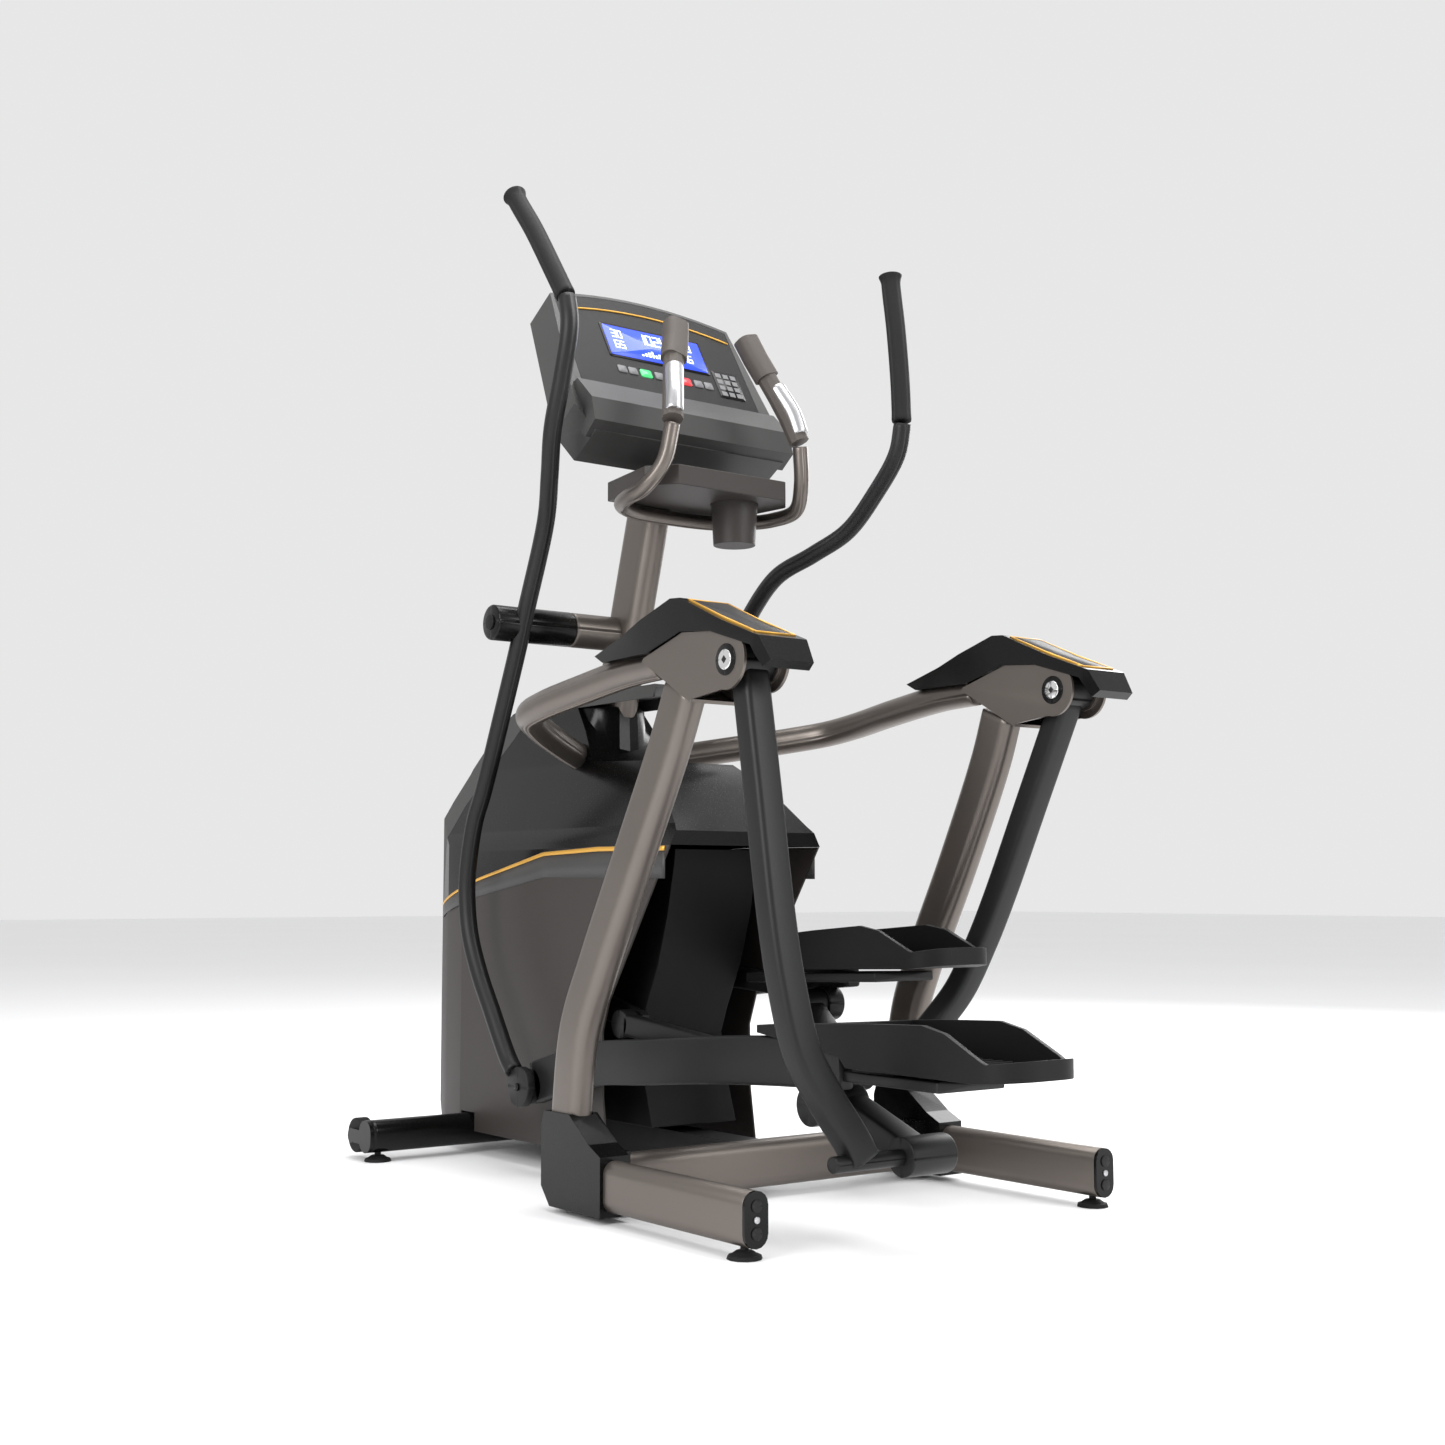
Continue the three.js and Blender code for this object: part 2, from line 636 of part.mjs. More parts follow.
// ---- moving pieces of the left side, at rest ----
const swingDirection = [Math.sin(radians(swingRest)), -Math.cos(radians(swingRest))];
const alongSwing = (x, length) => [
  -x,
  shoulder.y + swingDirection[0] * length,
  shoulder.z + swingDirection[1] * length,
];
const swingArm = cut(
  join(
    sweep(
      roundedRect(swingBar.width, swingBar.depth, swingBar.round),
      smooth([
        alongSwing(shoulder.x, 12),
        alongSwing(shoulder.x, 200),
        alongSwing(shoulder.x, 380),
        alongSwing(shoulder.x - 5, 470),
        alongSwing(shoulder.x - 20, 566),
        alongSwing(shoulder.x - 52, 630),
        alongSwing(shoulder.x - 92, 694),
        alongSwing(shoulder.x - 104, swingLength),
      ]),
      10,
      1,
    ),
    rodX(
      shoulder.y,
      shoulder.z,
      swingSleeve,
      -shoulder.x - bossInner + fit,
      -shoulder.x + bossInner - fit,
      14,
    ),
    rodX(lowerAxleAt.y, lowerAxleAt.z, lowerAxle.radius, -lowerAxle.outer, -lowerAxle.tubeInner),
  ),
  boreX(shoulder.y, shoulder.z, shoulderAxle, -500, -200),
);
const liftMid = (lowerAxle.tubeOuter + lowerAxle.tubeInner) / 2;
const strutAngle = angleOf(lowerAxleAt, linkPivotAt);
const strutSolid = sweep(
  roundedRect(strut.width, strut.depth, 8),
  new THREE.LineCurve3(
    new THREE.Vector3(
      -liftMid - 12,
      lowerAxleAt.y + 8 * Math.cos(strutAngle),
      lowerAxleAt.z + 8 * Math.sin(strutAngle),
    ),
    new THREE.Vector3(-liftMid - 12, linkPivotAt.y, linkPivotAt.z),
  ),
  1,
);
const liftLink = cut(
  join(
    rodX(lowerAxleAt.y, lowerAxleAt.z, lowerAxle.tube, -lowerAxle.tubeOuter, -lowerAxle.tubeInner, 32),
    strutSolid,
    rodX(linkPivotAt.y, linkPivotAt.z, linkPivot.boss, -linkPivot.outer + fit, -liftMid + 16, 14),
    rodX(linkPivotAt.y, linkPivotAt.z, linkPivot.pin, -linkPivot.reach, -liftMid),
  ),
  boreX(lowerAxleAt.y, lowerAxleAt.z, lowerAxle.radius, -300, 0),
);
const barPath = smooth([
  [-linkBar.frontX, armFoot.y, armFoot.z + 6],
  [-linkBar.frontX, 330, 195],
  [-linkBar.frontX, 225, 217],
  [-linkBar.frontX, 90, 229],
  [-(linkBar.frontX + linkBar.rearX) / 2, -60, 243],
  [-linkBar.rearX, -210, 253],
  [-linkBar.rearX, -400, 262],
]);
const carrierPlate = { inner: 60, rear: -600, front: -250, low: 236, thickness: 16 };
const driveRear = { y: -292, z: 226 };
const footLink = cut(
  join(
    sweep(roundedRect(linkBar.width, linkBar.height, linkBar.round), barPath, 7, 1),
    rodX(armFoot.y, armFoot.z, linkEye.round, -linkBar.frontX - 13, -linkBar.frontX + 13, 14),
    rodX(linkPivotAt.y, linkPivotAt.z, linkPivot.boss + 4, -linkPivot.reach, -linkPivot.outer, 14),
    box(
      -linkBar.rearX - 6, -carrierPlate.inner,
      carrierPlate.rear, carrierPlate.front,
      carrierPlate.low, carrierPlate.low + carrierPlate.thickness,
    ),
    sweep(
      roundedRect(driveBar.width, driveBar.height, 6),
      new THREE.LineCurve3(
        new THREE.Vector3(-driveBar.x, driveRear.y, driveRear.z),
        new THREE.Vector3(-driveBar.x, driveEye.y, driveEye.z),
      ),
      1,
    ),
    rodX(
      driveEye.y,
      driveEye.z,
      driveEye.round,
      -driveBar.x - driveBar.width / 2,
      -driveBar.x + driveBar.width / 2,
      14,
    ),
  ),
  rodX(armFoot.y, armFoot.z, linkEye.bore, -300, -100),
  boreX(linkPivotAt.y, linkPivotAt.z, linkPivot.pin, -linkPivot.reach - 30, -linkPivot.outer + 5),
  rodX(linkPivotAt.y, linkPivotAt.z, linkPivot.boss + 1.5, -linkPivot.outer, 0, 14),
  rodX(driveEye.y, driveEye.z, driveEye.bore, -300, 0),
);

// Foot pedal: a dished tray with raised rims, running forward over the bar as a fairing.
const pedalSize = { inner: 45, outer: 205, rear: -750, front: -206, low: 258, floor: 12, rim: 8 };
const pedalPlan = new THREE.Shape();
pedalPlan.moveTo(-pedalSize.inner, -400);
pedalPlan.lineTo(-pedalSize.inner - 70, -345);
pedalPlan.lineTo(-casing.halfWidth - 8, -285);
pedalPlan.lineTo(-casing.halfWidth - 8, pedalSize.front);
pedalPlan.lineTo(-pedalSize.outer + 4, pedalSize.front);
pedalPlan.lineTo(-pedalSize.outer, -330);
pedalPlan.lineTo(-pedalSize.outer, pedalSize.rear + 70);
pedalPlan.absarc(-pedalSize.outer + 60, pedalSize.rear + 60, 60, Math.PI, 1.5 * Math.PI);
pedalPlan.lineTo(-pedalSize.inner - 60, pedalSize.rear);
pedalPlan.absarc(-pedalSize.inner - 60, pedalSize.rear + 60, 60, 1.5 * Math.PI, 2 * Math.PI);
pedalPlan.closePath();
const pedalWell = new THREE.Shape();
pedalWell.moveTo(-pedalSize.inner - pedalSize.rim, -400);
pedalWell.lineTo(-pedalSize.outer + pedalSize.rim + 10, -400);
pedalWell.lineTo(-pedalSize.outer + pedalSize.rim, pedalSize.rear + 70);
pedalWell.absarc(-pedalSize.outer + 60, pedalSize.rear + 60, 60 - pedalSize.rim, Math.PI, 1.5 * Math.PI);
pedalWell.lineTo(-pedalSize.inner - 60, pedalSize.rear + pedalSize.rim);
pedalWell.absarc(-pedalSize.inner - 60, pedalSize.rear + 60, 60 - pedalSize.rim, 1.5 * Math.PI, 2 * Math.PI);
pedalWell.closePath();
const pedalSide = shapeOf([
  [pedalSize.front, 296],
  [pedalSize.front, 308],
  [-460, 324],
  [-582, 329],
  [-628, 320],
  [-704, 284],
  [pedalSize.rear, 290],
  [pedalSize.rear, 262],
  [-690, pedalSize.low - 1],
  [-600, pedalSize.low],
  [-420, pedalSize.low],
  [-404, 274],
].reverse());
const pedalSolid = cut(
  sideSolid(pedalSide, -pedalSize.outer - 10, -pedalSize.inner + 10)
    .intersect(planSolid(pedalPlan, 200, 400, 5)),
  planSolid(pedalWell, pedalSize.low + pedalSize.floor, 400, 5),
  sideSolid(
    shapeOf([
      [-402, 200],
      [pedalSize.front + 10, 200],
      [pedalSize.front + 10, 253 + linkBar.height / 2 + 2],
      [-402, 262 + linkBar.height / 2 + 1.5],
    ]),
    -linkBar.rearX - linkBar.width / 2 - 1.5, -linkBar.rearX + linkBar.width / 2 + 1.5,
  ),
);

const armLower = smooth([
  [-armX, armFoot.y + 26, armFoot.z + 26],
  [-armX, 488, 207],
  [-armX, 552, 292],
  [-armX, 600, 358],
  [-armX, 638, 430],
  [-armX, 652, 500],
  [-armX, 650, 555],
  [-armX, 625, 646],
  [-armX, 594, 700],
  [-armX, 528, 836],
  [-armX, 466, 968],
  [-armX, 440, 1030],
  [-armX + 2, 375, 1190],
  [-264, 320, 1262],
  [-288, 272, 1330],
  [-292, 234, 1420],
  [-292, 211, 1505],
  [-291, 222, 1552],
]);
const armSolid = cut(
  join(
    sweep(disc(armTube), armLower, 24, 4),
    rodX(hub.y, hub.z, hub.radius, -hub.outer, -hub.inner, 18),
    rodX(armFoot.y, armFoot.z, armPlate.round, -armX - armPlate.thickness, -armX + 8, 14),
    sideSolid(
      shapeOf([
        [armFoot.y - 34, armFoot.z + 6],
        [armFoot.y + 30, armFoot.z - 18],
        [armFoot.y + 84, armFoot.z + 72],
        [armFoot.y + 50, armFoot.z + 92],
      ]),
      -armX - armPlate.thickness, -armX + 4,
    ),
    rodX(armFoot.y, armFoot.z, armPin, -armX, -linkBar.frontX + 13, 14),
  ),
  boreX(hub.y, hub.z, hub.axle, -hub.outer + 11, 0),
);
const gripSolid = join(
  sweep(disc(18), smooth([[-291, 228, 1563], [-294, 268, 1625], [-296, 330, 1712], [-298, 388, 1782]]), 6, 5),
  sweep(roundedRect(46, 56, 18), smooth([[-298, 384, 1778], [-299, 396, 1794]]), 1, 3),
);

// ---- crank and belt drive ----
const crankArm = (x, towards) => {
  const end = {
    y: crankAt.y + crankThrow * Math.cos(towards),
    z: crankAt.z + crankThrow * Math.sin(towards),
  };
  const web = sweep(
    roundedRect(crank.arm, crank.width, 3),
    new THREE.LineCurve3(new THREE.Vector3(x, crankAt.y, crankAt.z), new THREE.Vector3(x, end.y, end.z)),
    1,
  );
  const pinEnd = x + Math.sign(x) * (crank.arm / 2 + crank.pinReach);
  return join(
    web,
    rodX(end.y, end.z, crank.width / 2, x - crank.arm / 2, x + crank.arm / 2, 14),
    rodX(crankAt.y, crankAt.z, crank.width / 2, x - crank.arm / 2, x + crank.arm / 2, 14),
    rodX(end.y, end.z, crank.pin, x, pinEnd, 14),
  );
};
const crankSolid = join(
  rodX(crankAt.y, crankAt.z, crank.axle, -crank.x, crank.x),
  crankArm(-crank.x, crankAngle),
  crankArm(crank.x, crankAngle + Math.PI),
);
const pulleySides = [pulley.x - pulley.width / 2, pulley.x + pulley.width / 2];
const spoke = (index) => {
  const angle = (index * Math.PI) / 3;
  const middle = { y: crankAt.y + 82 * Math.cos(angle), z: crankAt.z + 82 * Math.sin(angle) };
  return rodX(middle.y, middle.z, 30, 0, 100, 8);
};
const pulleySolid = cut(
  rodX(crankAt.y, crankAt.z, pulley.radius, ...pulleySides, 28),
  boreX(crankAt.y, crankAt.z, crank.axle, 0, 100),
  ...[0, 1, 2, 3, 4, 5].map(spoke),
);
const flywheelSolid = join(
  rodX(flywheel.y, flywheel.z, flywheel.radius, -flywheel.width / 2, flywheel.width / 2, 28),
  rodX(flywheel.y, flywheel.z, flywheel.axle, -cheekX - 12, pulleySides[1] + 4),
  rodX(flywheel.y, flywheel.z, flywheel.pulley, ...pulleySides, 14),
);
const beltSpan = distance(crankAt, flywheel);
const beltLean = angleOf(crankAt, flywheel);
const beltWrap = Math.acos((pulley.radius - flywheel.pulley) / beltSpan);
const beltLoop = (Outline, grow) => {
  const loop = new Outline();
  const wrapEnd = beltLean + 2 * Math.PI - beltWrap;
  loop.absarc(crankAt.y, crankAt.z, pulley.radius + grow, beltLean + beltWrap, wrapEnd);
  loop.absarc(flywheel.y, flywheel.z, flywheel.pulley + grow, beltLean - beltWrap, beltLean + beltWrap);
  loop.closePath();
  return loop;
};
const beltShape = beltLoop(THREE.Shape, 0.6 + belt);
beltShape.holes.push(beltLoop(THREE.Path, 0.6));
const beltSolid = sideSolid(beltShape, pulleySides[0] + 1, pulleySides[1] - 1, 12);

// ---- casing ----
const noseCurve = (inset) => {
  const front = smooth([
    [0, 920 - inset, 44],
    [0, 985 - inset, 135],
    [0, casing.front - 12 - inset, 195],
    [0, casing.front - inset, 311],
    [0, casing.front - 13 - inset, 450],
    [0, 1013 - inset, 537],
    [0, 962 - inset, 640],
    [0, 935 - inset, 700],
    [0, 896 - inset, 766],
    [0, 836 - inset, 832 - inset / 2],
    [0, 770 - inset, 872 - inset],
    [0, 700, hood.top - inset],
  ]);
  return front.getPoints(11).map((point) => [point.y, point.z]);
};
const casingForm = (inset) => {
  const low = inset ? -10 : casing.low;
  const side = shapeOf([[0, low], ...noseCurve(inset), [0, hood.top - inset]]);
  const half = casing.halfWidth - inset;
  const plan = new THREE.Shape();
  const noseStart = casing.front - casing.noseLength;
  plan.moveTo(half, -10);
  plan.lineTo(half, noseStart);
  plan.absellipse(0, noseStart, half, casing.noseLength - inset, 0, Math.PI);
  plan.lineTo(-half, -10);
  plan.closePath();
  const front = shapeOf([
    [half, -20],
    [half, casing.stripe],
    [half - 20, 630],
    [98 - inset, 755],
    [hood.halfWidth + 10 - inset, 820],
    [hood.halfWidth - inset, hood.top + 1],
    [inset - hood.halfWidth, hood.top + 1],
    [inset - hood.halfWidth - 10, 820],
    [inset - 98, 755],
    [20 - half, 630],
    [-half, casing.stripe],
    [-half, -20],
  ]);
  return sideSolid(side, -half, half)
    .intersect(planSolid(plan, -20, 1000, 5))
    .intersect(frontSolid(front, -5, 1100));
};
const casingSkin = cut(casingForm(0), casingForm(casing.wall));
const seamY = casing.front - 103;
const stripeLine = [[82, casing.stripe], [304, casing.stripe + 2], [495, 587], [743, 540], [seamY, 486]];
const shellRegion = shapeOf([
  [262, 0],
  [seamY, 0],
  ...stripeLine.slice().reverse(),
  [268, 319],
  [288, 265],
  [286, 150],
]);
const sideShell = cut(
  casingSkin.intersect(sideSolid(shellRegion, -200, -20)),
  box(
    -200,
    200,
    frontTubeY - frontTube.depth / 2 - 2,
    frontTubeY + frontTube.depth / 2 + 2,
    0,
    frontTube.low + frontTube.height + 2,
  ),
);
const noseSeam = [[seamY + 1, -20], [seamY + 1, 487], [seamY - 28, 600], [875, 690], [818, 760], [740, 830]];
const noseRegion = shapeOf([
  ...noseSeam,
  [690, hood.low],
  [263, hood.low],
  [263, 1000],
  [1200, 1000],
  [1200, -20],
].reverse());
const mastSpace = (grow) =>
  sweep(
    roundedRect(mast.width + grow, mast.depth + grow, mast.width / 2 - 1),
    mastLine(500, 1050),
    1,
    2,
  );
const noseShell = cut(
  casingSkin.intersect(sideSolid(noseRegion, -200, 200)),
  mastSpace(6),
);
const coverTop = hood.low - fit;
const coverSide = (inset) =>
  shapeOf([
    [80 + inset, 480 - inset * 40],
    [80 + inset, 617 - inset],
    [170 + inset, 700 - inset],
    [256, 748 - inset],
    [430, 756 - inset],
    [520, coverTop - inset],
    [690, coverTop - inset],
    ...noseSeam.slice(1).reverse().map(([y, z]) => [y - 1.4, z]),
    [seamY - 0.4, 480 - inset * 40],
  ].reverse());
const coverCollar = cut(
  coneZ(0, mastY(800), 740, coverTop, collar, collar - 6, 20),
  coneZ(0, mastY(800), 700, coverTop + 1, collar - 3, collar - 9, 20),
);
const coverSkin = cut(
  casingForm(0).intersect(sideSolid(coverSide(0), -200, 200)),
  casingForm(casing.wall).intersect(sideSolid(coverSide(casing.wall), -200, 200)),
  coneZ(0, mastY(800), 700, coverTop + 1, collar - 3, collar - 9, 20),
);
const belowStripe = sideSolid(
  shapeOf([
    [0, 400],
    [1100, 400],
    [1100, 486.5],
    ...stripeLine.slice().reverse().map(([y, z]) => [y, z + fit]),
    [0, casing.stripe + fit],
  ]),
  -300, 300,
);
const coverHoles = [
  topTubeSpace(2),
  topTubeSpace(2).mirror([1, 0, 0]),
];
const topCover = cut(join(coverSkin, coverCollar), belowStripe, mastSpace(1), ...coverHoles);
const backLine = (inset) => [
  [168 + inset, rearCover.top - inset],
  [172 + inset, 560],
  [192 + inset, 470],
  [222 + inset, 380],
  [262 + inset, 300],
  [280 + inset, 255],
  [268 + inset, 190],
  [236 + inset, rail.top + 12],
];
const coverForm = (inset) =>
  sideSolid(
    shapeOf([
      ...backLine(inset),
      [236 + inset, rail.top + 12 - inset * 5],
      [430 + inset * 5, rail.top + 12 - inset * 5],
      [430 + inset * 5, rearCover.top - inset],
    ]),
    -rearCover.halfWidth + inset, rearCover.halfWidth - inset,
  );
const rearCoverSolid = cut(coverForm(0), coverForm(3));

// ---- console, tray and fixed bars ----
const panelOutline = (grow) => {
  const shape = new THREE.Shape();
  shape.moveTo(-200 - grow, 132 + grow);
  shape.lineTo(-panel.halfWidth - grow, panel.low - grow);
  shape.lineTo(panel.halfWidth + grow, panel.low - grow);
  shape.lineTo(200 + grow, 132 + grow);
  shape.quadraticCurveTo(0, 184 + grow, -200 - grow, 132 + grow);
  return shape;
};
const rectangle = (halfWidth, low, top, x = 0) =>
  shapeOf([[x - halfWidth, low], [x + halfWidth, low], [x + halfWidth, top], [x - halfWidth, top]]);
const keySlab = (x, grow, y0, y1) =>
  consoleSlab(
    rectangle(
      key.width / 2 + grow,
      key.centreZ - key.height / 2 - grow,
      key.centreZ + key.height / 2 + grow,
      x,
    ),
    y0,
    y1,
  );
const keyPlaces = { start_key: -key.offsetX, stop_key: key.offsetX };
const faceDepth = panel.thickness + fit;
const housing = cut(
  join(consoleSlab(consoleOutline(0), 0, consoleDepth), consoleChin(0)),
  consoleSlab(panelOutline(fit), -60, faceDepth),
  consoleSlab(rectangle(180, panel.low + 8, 120), 0, consoleDepth - 8),
  sweep(
    roundedRect(mast.width + 1, mast.depth + 1, mast.width / 2 - 1),
    mastLine(1200, mast.top + fit),
    1,
    2,
  ),
);
const panelSolid = cut(
  consoleSlab(panelOutline(0), 0, panel.thickness),
  ...Object.values(keyPlaces).map((x) => keySlab(x, fit, -5, 14)),
);
const displaySolid = consoleSlab(rectangle(display.halfWidth, display.low, display.top), -2, -fit);

const trayTop = tray.low + tray.height;
const trayPlan = (inset) => {
  const half = tray.halfWidth - inset;
  const shape = new THREE.Shape();
  shape.moveTo(-half + 40, tray.rear + inset);
  shape.lineTo(half - 40, tray.rear + inset);
  shape.lineTo(half, tray.rear + 50);
  shape.lineTo(half - 20, tray.front - inset);
  shape.lineTo(-half + 20, tray.front - inset);
  shape.lineTo(-half, tray.rear + 50);
  shape.closePath();
  return shape;
};
const traySolid = cut(
  planSolid(trayPlan(0), tray.low, trayTop),
  planSolid(trayPlan(tray.wall), tray.low + tray.wall, trayTop + 1),
  coneZ(cup.x, cup.y, tray.low - 1, trayTop + 1, cup.radius + fit, cup.radius + fit, 32),
);
const cupTop = tray.low + tray.wall + 3;
const cupBottom = cupTop - cup.depth;
const cupSolid = cut(
  join(
    coneZ(cup.x, cup.y, cupBottom, cupTop, cup.radius - 5, cup.radius - fit, 32),
    coneZ(cup.x, cup.y, tray.low + tray.wall + fit, cupTop, cup.radius + 5, cup.radius + 5, 32),
  ),
  coneZ(
    cup.x,
    cup.y,
    cupBottom + cup.wall,
    cupTop + 1,
    cup.radius - 5 - cup.wall,
    cup.radius - 1 - cup.wall,
    32,
  ),
);
const barHeight = tray.low - bar - 2 * fit;
const gripFoot = [-143, 107, 1338];
const barEnd = smooth([
  [-143.6, 106, 1330],
  [-155, 117, 1262],
  [-170, 152, 1222],
  [-166, 215, barHeight],
  [-140, 272, barHeight],
  [-90, 308, barHeight],
  [0, 318, barHeight],
  [90, 308, barHeight],
  [140, 272, barHeight],
  [166, 215, barHeight],
  [170, 152, 1222],
  [155, 117, 1262],
  [143.6, 106, 1330],
]);
const mastFace = mastY(barHeight + 12) - (mast.depth / 2) * Math.hypot(1, mast.lean) - fit;
const handlebar = join(
  sweep(disc(bar), barEnd, 26, 4),
  box(-24, 24, 312, mastFace, barHeight - 12, barHeight + 12),
);
const pulseGrip = join(
  sweep(disc(gripSleeve), smooth([gripFoot, [-128, 127, 1395], [-104, 160, 1470]]), 3, 5),
  sweep(
    roundedRect(46, 2 * gripSleeve, 14),
    smooth([[-106, 157, 1464], [-92, 172, 1500], [-80, 188, 1540]]),
    2,
    2,
  ),
);

// ---- assembly ----
// Pieces of one side: built at rest on the left, mirrored for the right.
const shoulders = (name) => [
  [`rear_foot_tube_${name}`, floorTubeSolid, gunmetal()],
  [`rear_foot_cap_${name}`, rearCap, blackPlastic()],
  [`floor_boot_${name}`, bootSolid, blackPlastic()],
  [`rear_leg_${name}`, rearLeg, gunmetal()],
  [`shoulder_bracket_${name}`, shoulderBracket, gunmetal()],
  [`shoulder_cap_${name}`, shoulderCap, blackPlastic()],
  [`shoulder_axle_${name}`, shoulderAxleSolid, chrome()],
  [`top_tube_${name}`, topTubeSolid, gunmetal()],
  [`front_foot_cap_${name}`, frontCap, blackPlastic()],
  [`transport_wheel_${name}`, wheelSolid, rubber()],
  [`levelling_foot_rear_${name}`, foot(-footTrack, rearFootY), rubber()],
  [`levelling_foot_front_${name}`, foot(-footTrack, frontTubeY), rubber()],
  [`side_shell_${name}`, sideShell, brownPlastic()],
  [`pulse_grip_${name}`, pulseGrip, rubber()],
];
const swinging = (name) => [[`swing_arm_${name}`, swingArm, blackSteel()]];
const lifting = (name) => [[`lift_link_${name}`, liftLink, blackSteel()]];
const riding = (name) => [
  [`foot_link_${name}`, footLink, blackSteel()],
  [`pedal_${name}`, pedalSolid, blackPlastic()],
];
const holding = (name) => [
  [`handle_arm_${name}`, armSolid, blackSteel()],
  [`hand_grip_${name}`, gripSolid, rubber()],
];
const placeAll = (parent, pieces) =>
  pieces.forEach(([name, solid, material]) => place(parent, name, solid, material));
const sides = [
  {
    name: "left",
    mirror: 1,
    pivot: lowerAxleAt,
    swing: 0,
    lift: 0,
    link: linkPivotAt,
    linkTurn: 0,
    armTurn: 0,
  },
  {
    name: "right",
    mirror: -1,
    pivot: rightAxle,
    swing: radians(swingPhase),
    lift: liftTurn,
    link: rightPivot,
    linkTurn: rightLinkTurn,
    armTurn: rightArmTurn,
  },
];
for (const side of sides) {
  const half = new THREE.Group();
  half.scale.x = side.mirror;
  trainer.add(half);
  placeAll(half, shoulders(side.name));
  placeAll(carrier(half, shoulder, shoulder, side.swing), swinging(side.name));
  placeAll(carrier(half, lowerAxleAt, side.pivot, side.lift), lifting(side.name));
  placeAll(carrier(half, linkPivotAt, side.link, side.linkTurn), riding(side.name));
  placeAll(carrier(half, hub, hub, side.armTurn), holding(side.name));
}
place(still, "crank", crankSolid, blackSteel());
place(still, "drive_pulley", pulleySolid, blackPlastic());
place(still, "flywheel", flywheelSolid, chrome());
place(still, "drive_belt", beltSolid, rubber());
place(still, "nose_shell", noseShell, brownPlastic());
place(still, "top_cover", topCover, blackPlastic());
place(still, "rear_cover", rearCoverSolid, blackPlastic());
place(still, "console_housing", housing, brownPlastic());
place(still, "console_panel", panelSolid, blackPlastic());
place(still, "display_window", displaySolid, blackPlastic());
for (const [name, x] of Object.entries(keyPlaces)) {
  place(still, name, keySlab(x, 0, -key.rise, 7), rubber());
}
place(still, "tray", traySolid, brownPlastic());
place(still, "cup_holder", cupSolid, brownPlastic());
place(still, "handlebar", handlebar, gunmetal());

// The origin is on the floor, midway between the rearmost and the foremost point.
trainer.updateMatrixWorld(true);
const extent = new THREE.Box3().setFromObject(trainer, true);
trainer.position.y = -(extent.min.y + extent.max.y) / 2;

export default trainer;
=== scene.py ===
import json
import math

import bmesh
import bpy
import numpy as np
from mathutils import Matrix, Vector


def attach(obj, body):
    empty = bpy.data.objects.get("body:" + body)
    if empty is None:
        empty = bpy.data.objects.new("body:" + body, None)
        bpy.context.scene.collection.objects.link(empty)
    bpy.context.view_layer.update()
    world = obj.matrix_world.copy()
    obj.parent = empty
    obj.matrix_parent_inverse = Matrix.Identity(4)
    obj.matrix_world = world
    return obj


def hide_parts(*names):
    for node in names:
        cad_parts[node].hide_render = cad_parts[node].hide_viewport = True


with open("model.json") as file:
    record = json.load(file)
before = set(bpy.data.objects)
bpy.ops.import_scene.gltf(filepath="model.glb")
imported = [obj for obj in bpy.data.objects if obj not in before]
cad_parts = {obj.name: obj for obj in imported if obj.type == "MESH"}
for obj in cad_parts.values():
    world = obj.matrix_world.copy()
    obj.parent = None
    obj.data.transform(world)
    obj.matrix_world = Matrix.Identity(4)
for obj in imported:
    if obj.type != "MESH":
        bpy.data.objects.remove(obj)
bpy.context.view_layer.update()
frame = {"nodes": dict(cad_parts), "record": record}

# ---- Studio: floor, lamps and camera ----
# A pale painted floor that runs out of view, large soft lamps over and beside the machine, and a
# camera low behind the machine's left side.
scene = bpy.context.scene
FORWARD_SHIFT = -149.0  # from the linkage drawing's zero to the middle of the machine, mm


def mm(x, y, z):
    """A point of the linkage drawing, in millimetres, as metres in the frame."""
    return np.array([x, y + FORWARD_SHIFT, z]) / 1000


class Wire:
    """A socket in a material's nodes. The operators add Math nodes to its tree."""

    def __init__(self, tree, socket):
        self.tree, self.socket = tree, socket

    def node(self, kind, settings=None, out=0, **sockets):
        """A new node of a type: its settings first, then the values or links of its sockets."""
        node = self.tree.nodes.new(kind)
        for key, value in (settings or {}).items():
            setattr(node, key, value)
        for key, value in sockets.items():
            target = node.inputs[int(key[1:])] if key[1:].isdigit() else node.inputs[
                key.replace("_", " ")
            ]
            if isinstance(value, Wire):
                self.tree.links.new(value.socket, target)
            else:
                target.default_value = value
        return Wire(self.tree, node.outputs[out])

    def maths(self, operation, *values):
        return self.node(
            "ShaderNodeMath", {"operation": operation}, **{f"_{i}": v for i, v in enumerate(values)}
        )

    def __add__(self, other):
        return self.maths("ADD", self, other)

    def __mul__(self, other):
        return self.maths("MULTIPLY", self, other)

    def __sub__(self, other):
        return self.maths("SUBTRACT", self, other)

    def __rsub__(self, other):
        return self.maths("SUBTRACT", other, self)

    __radd__, __rmul__ = __add__, __mul__

    def mixed(self, low, high):
        """A colour between two, by this value."""
        return self.node("ShaderNodeMix", {"data_type": "RGBA"}, 2, _0=self, _6=low, _7=high)

    def noise(self, scale, detail=3.0):
        return self.node("ShaderNodeTexNoise", Vector=self, Scale=scale, Detail=detail)

    def bump(self, height, distance, strength=1.0):
        return self.node("ShaderNodeBump", Height=height, Distance=distance, Strength=strength)


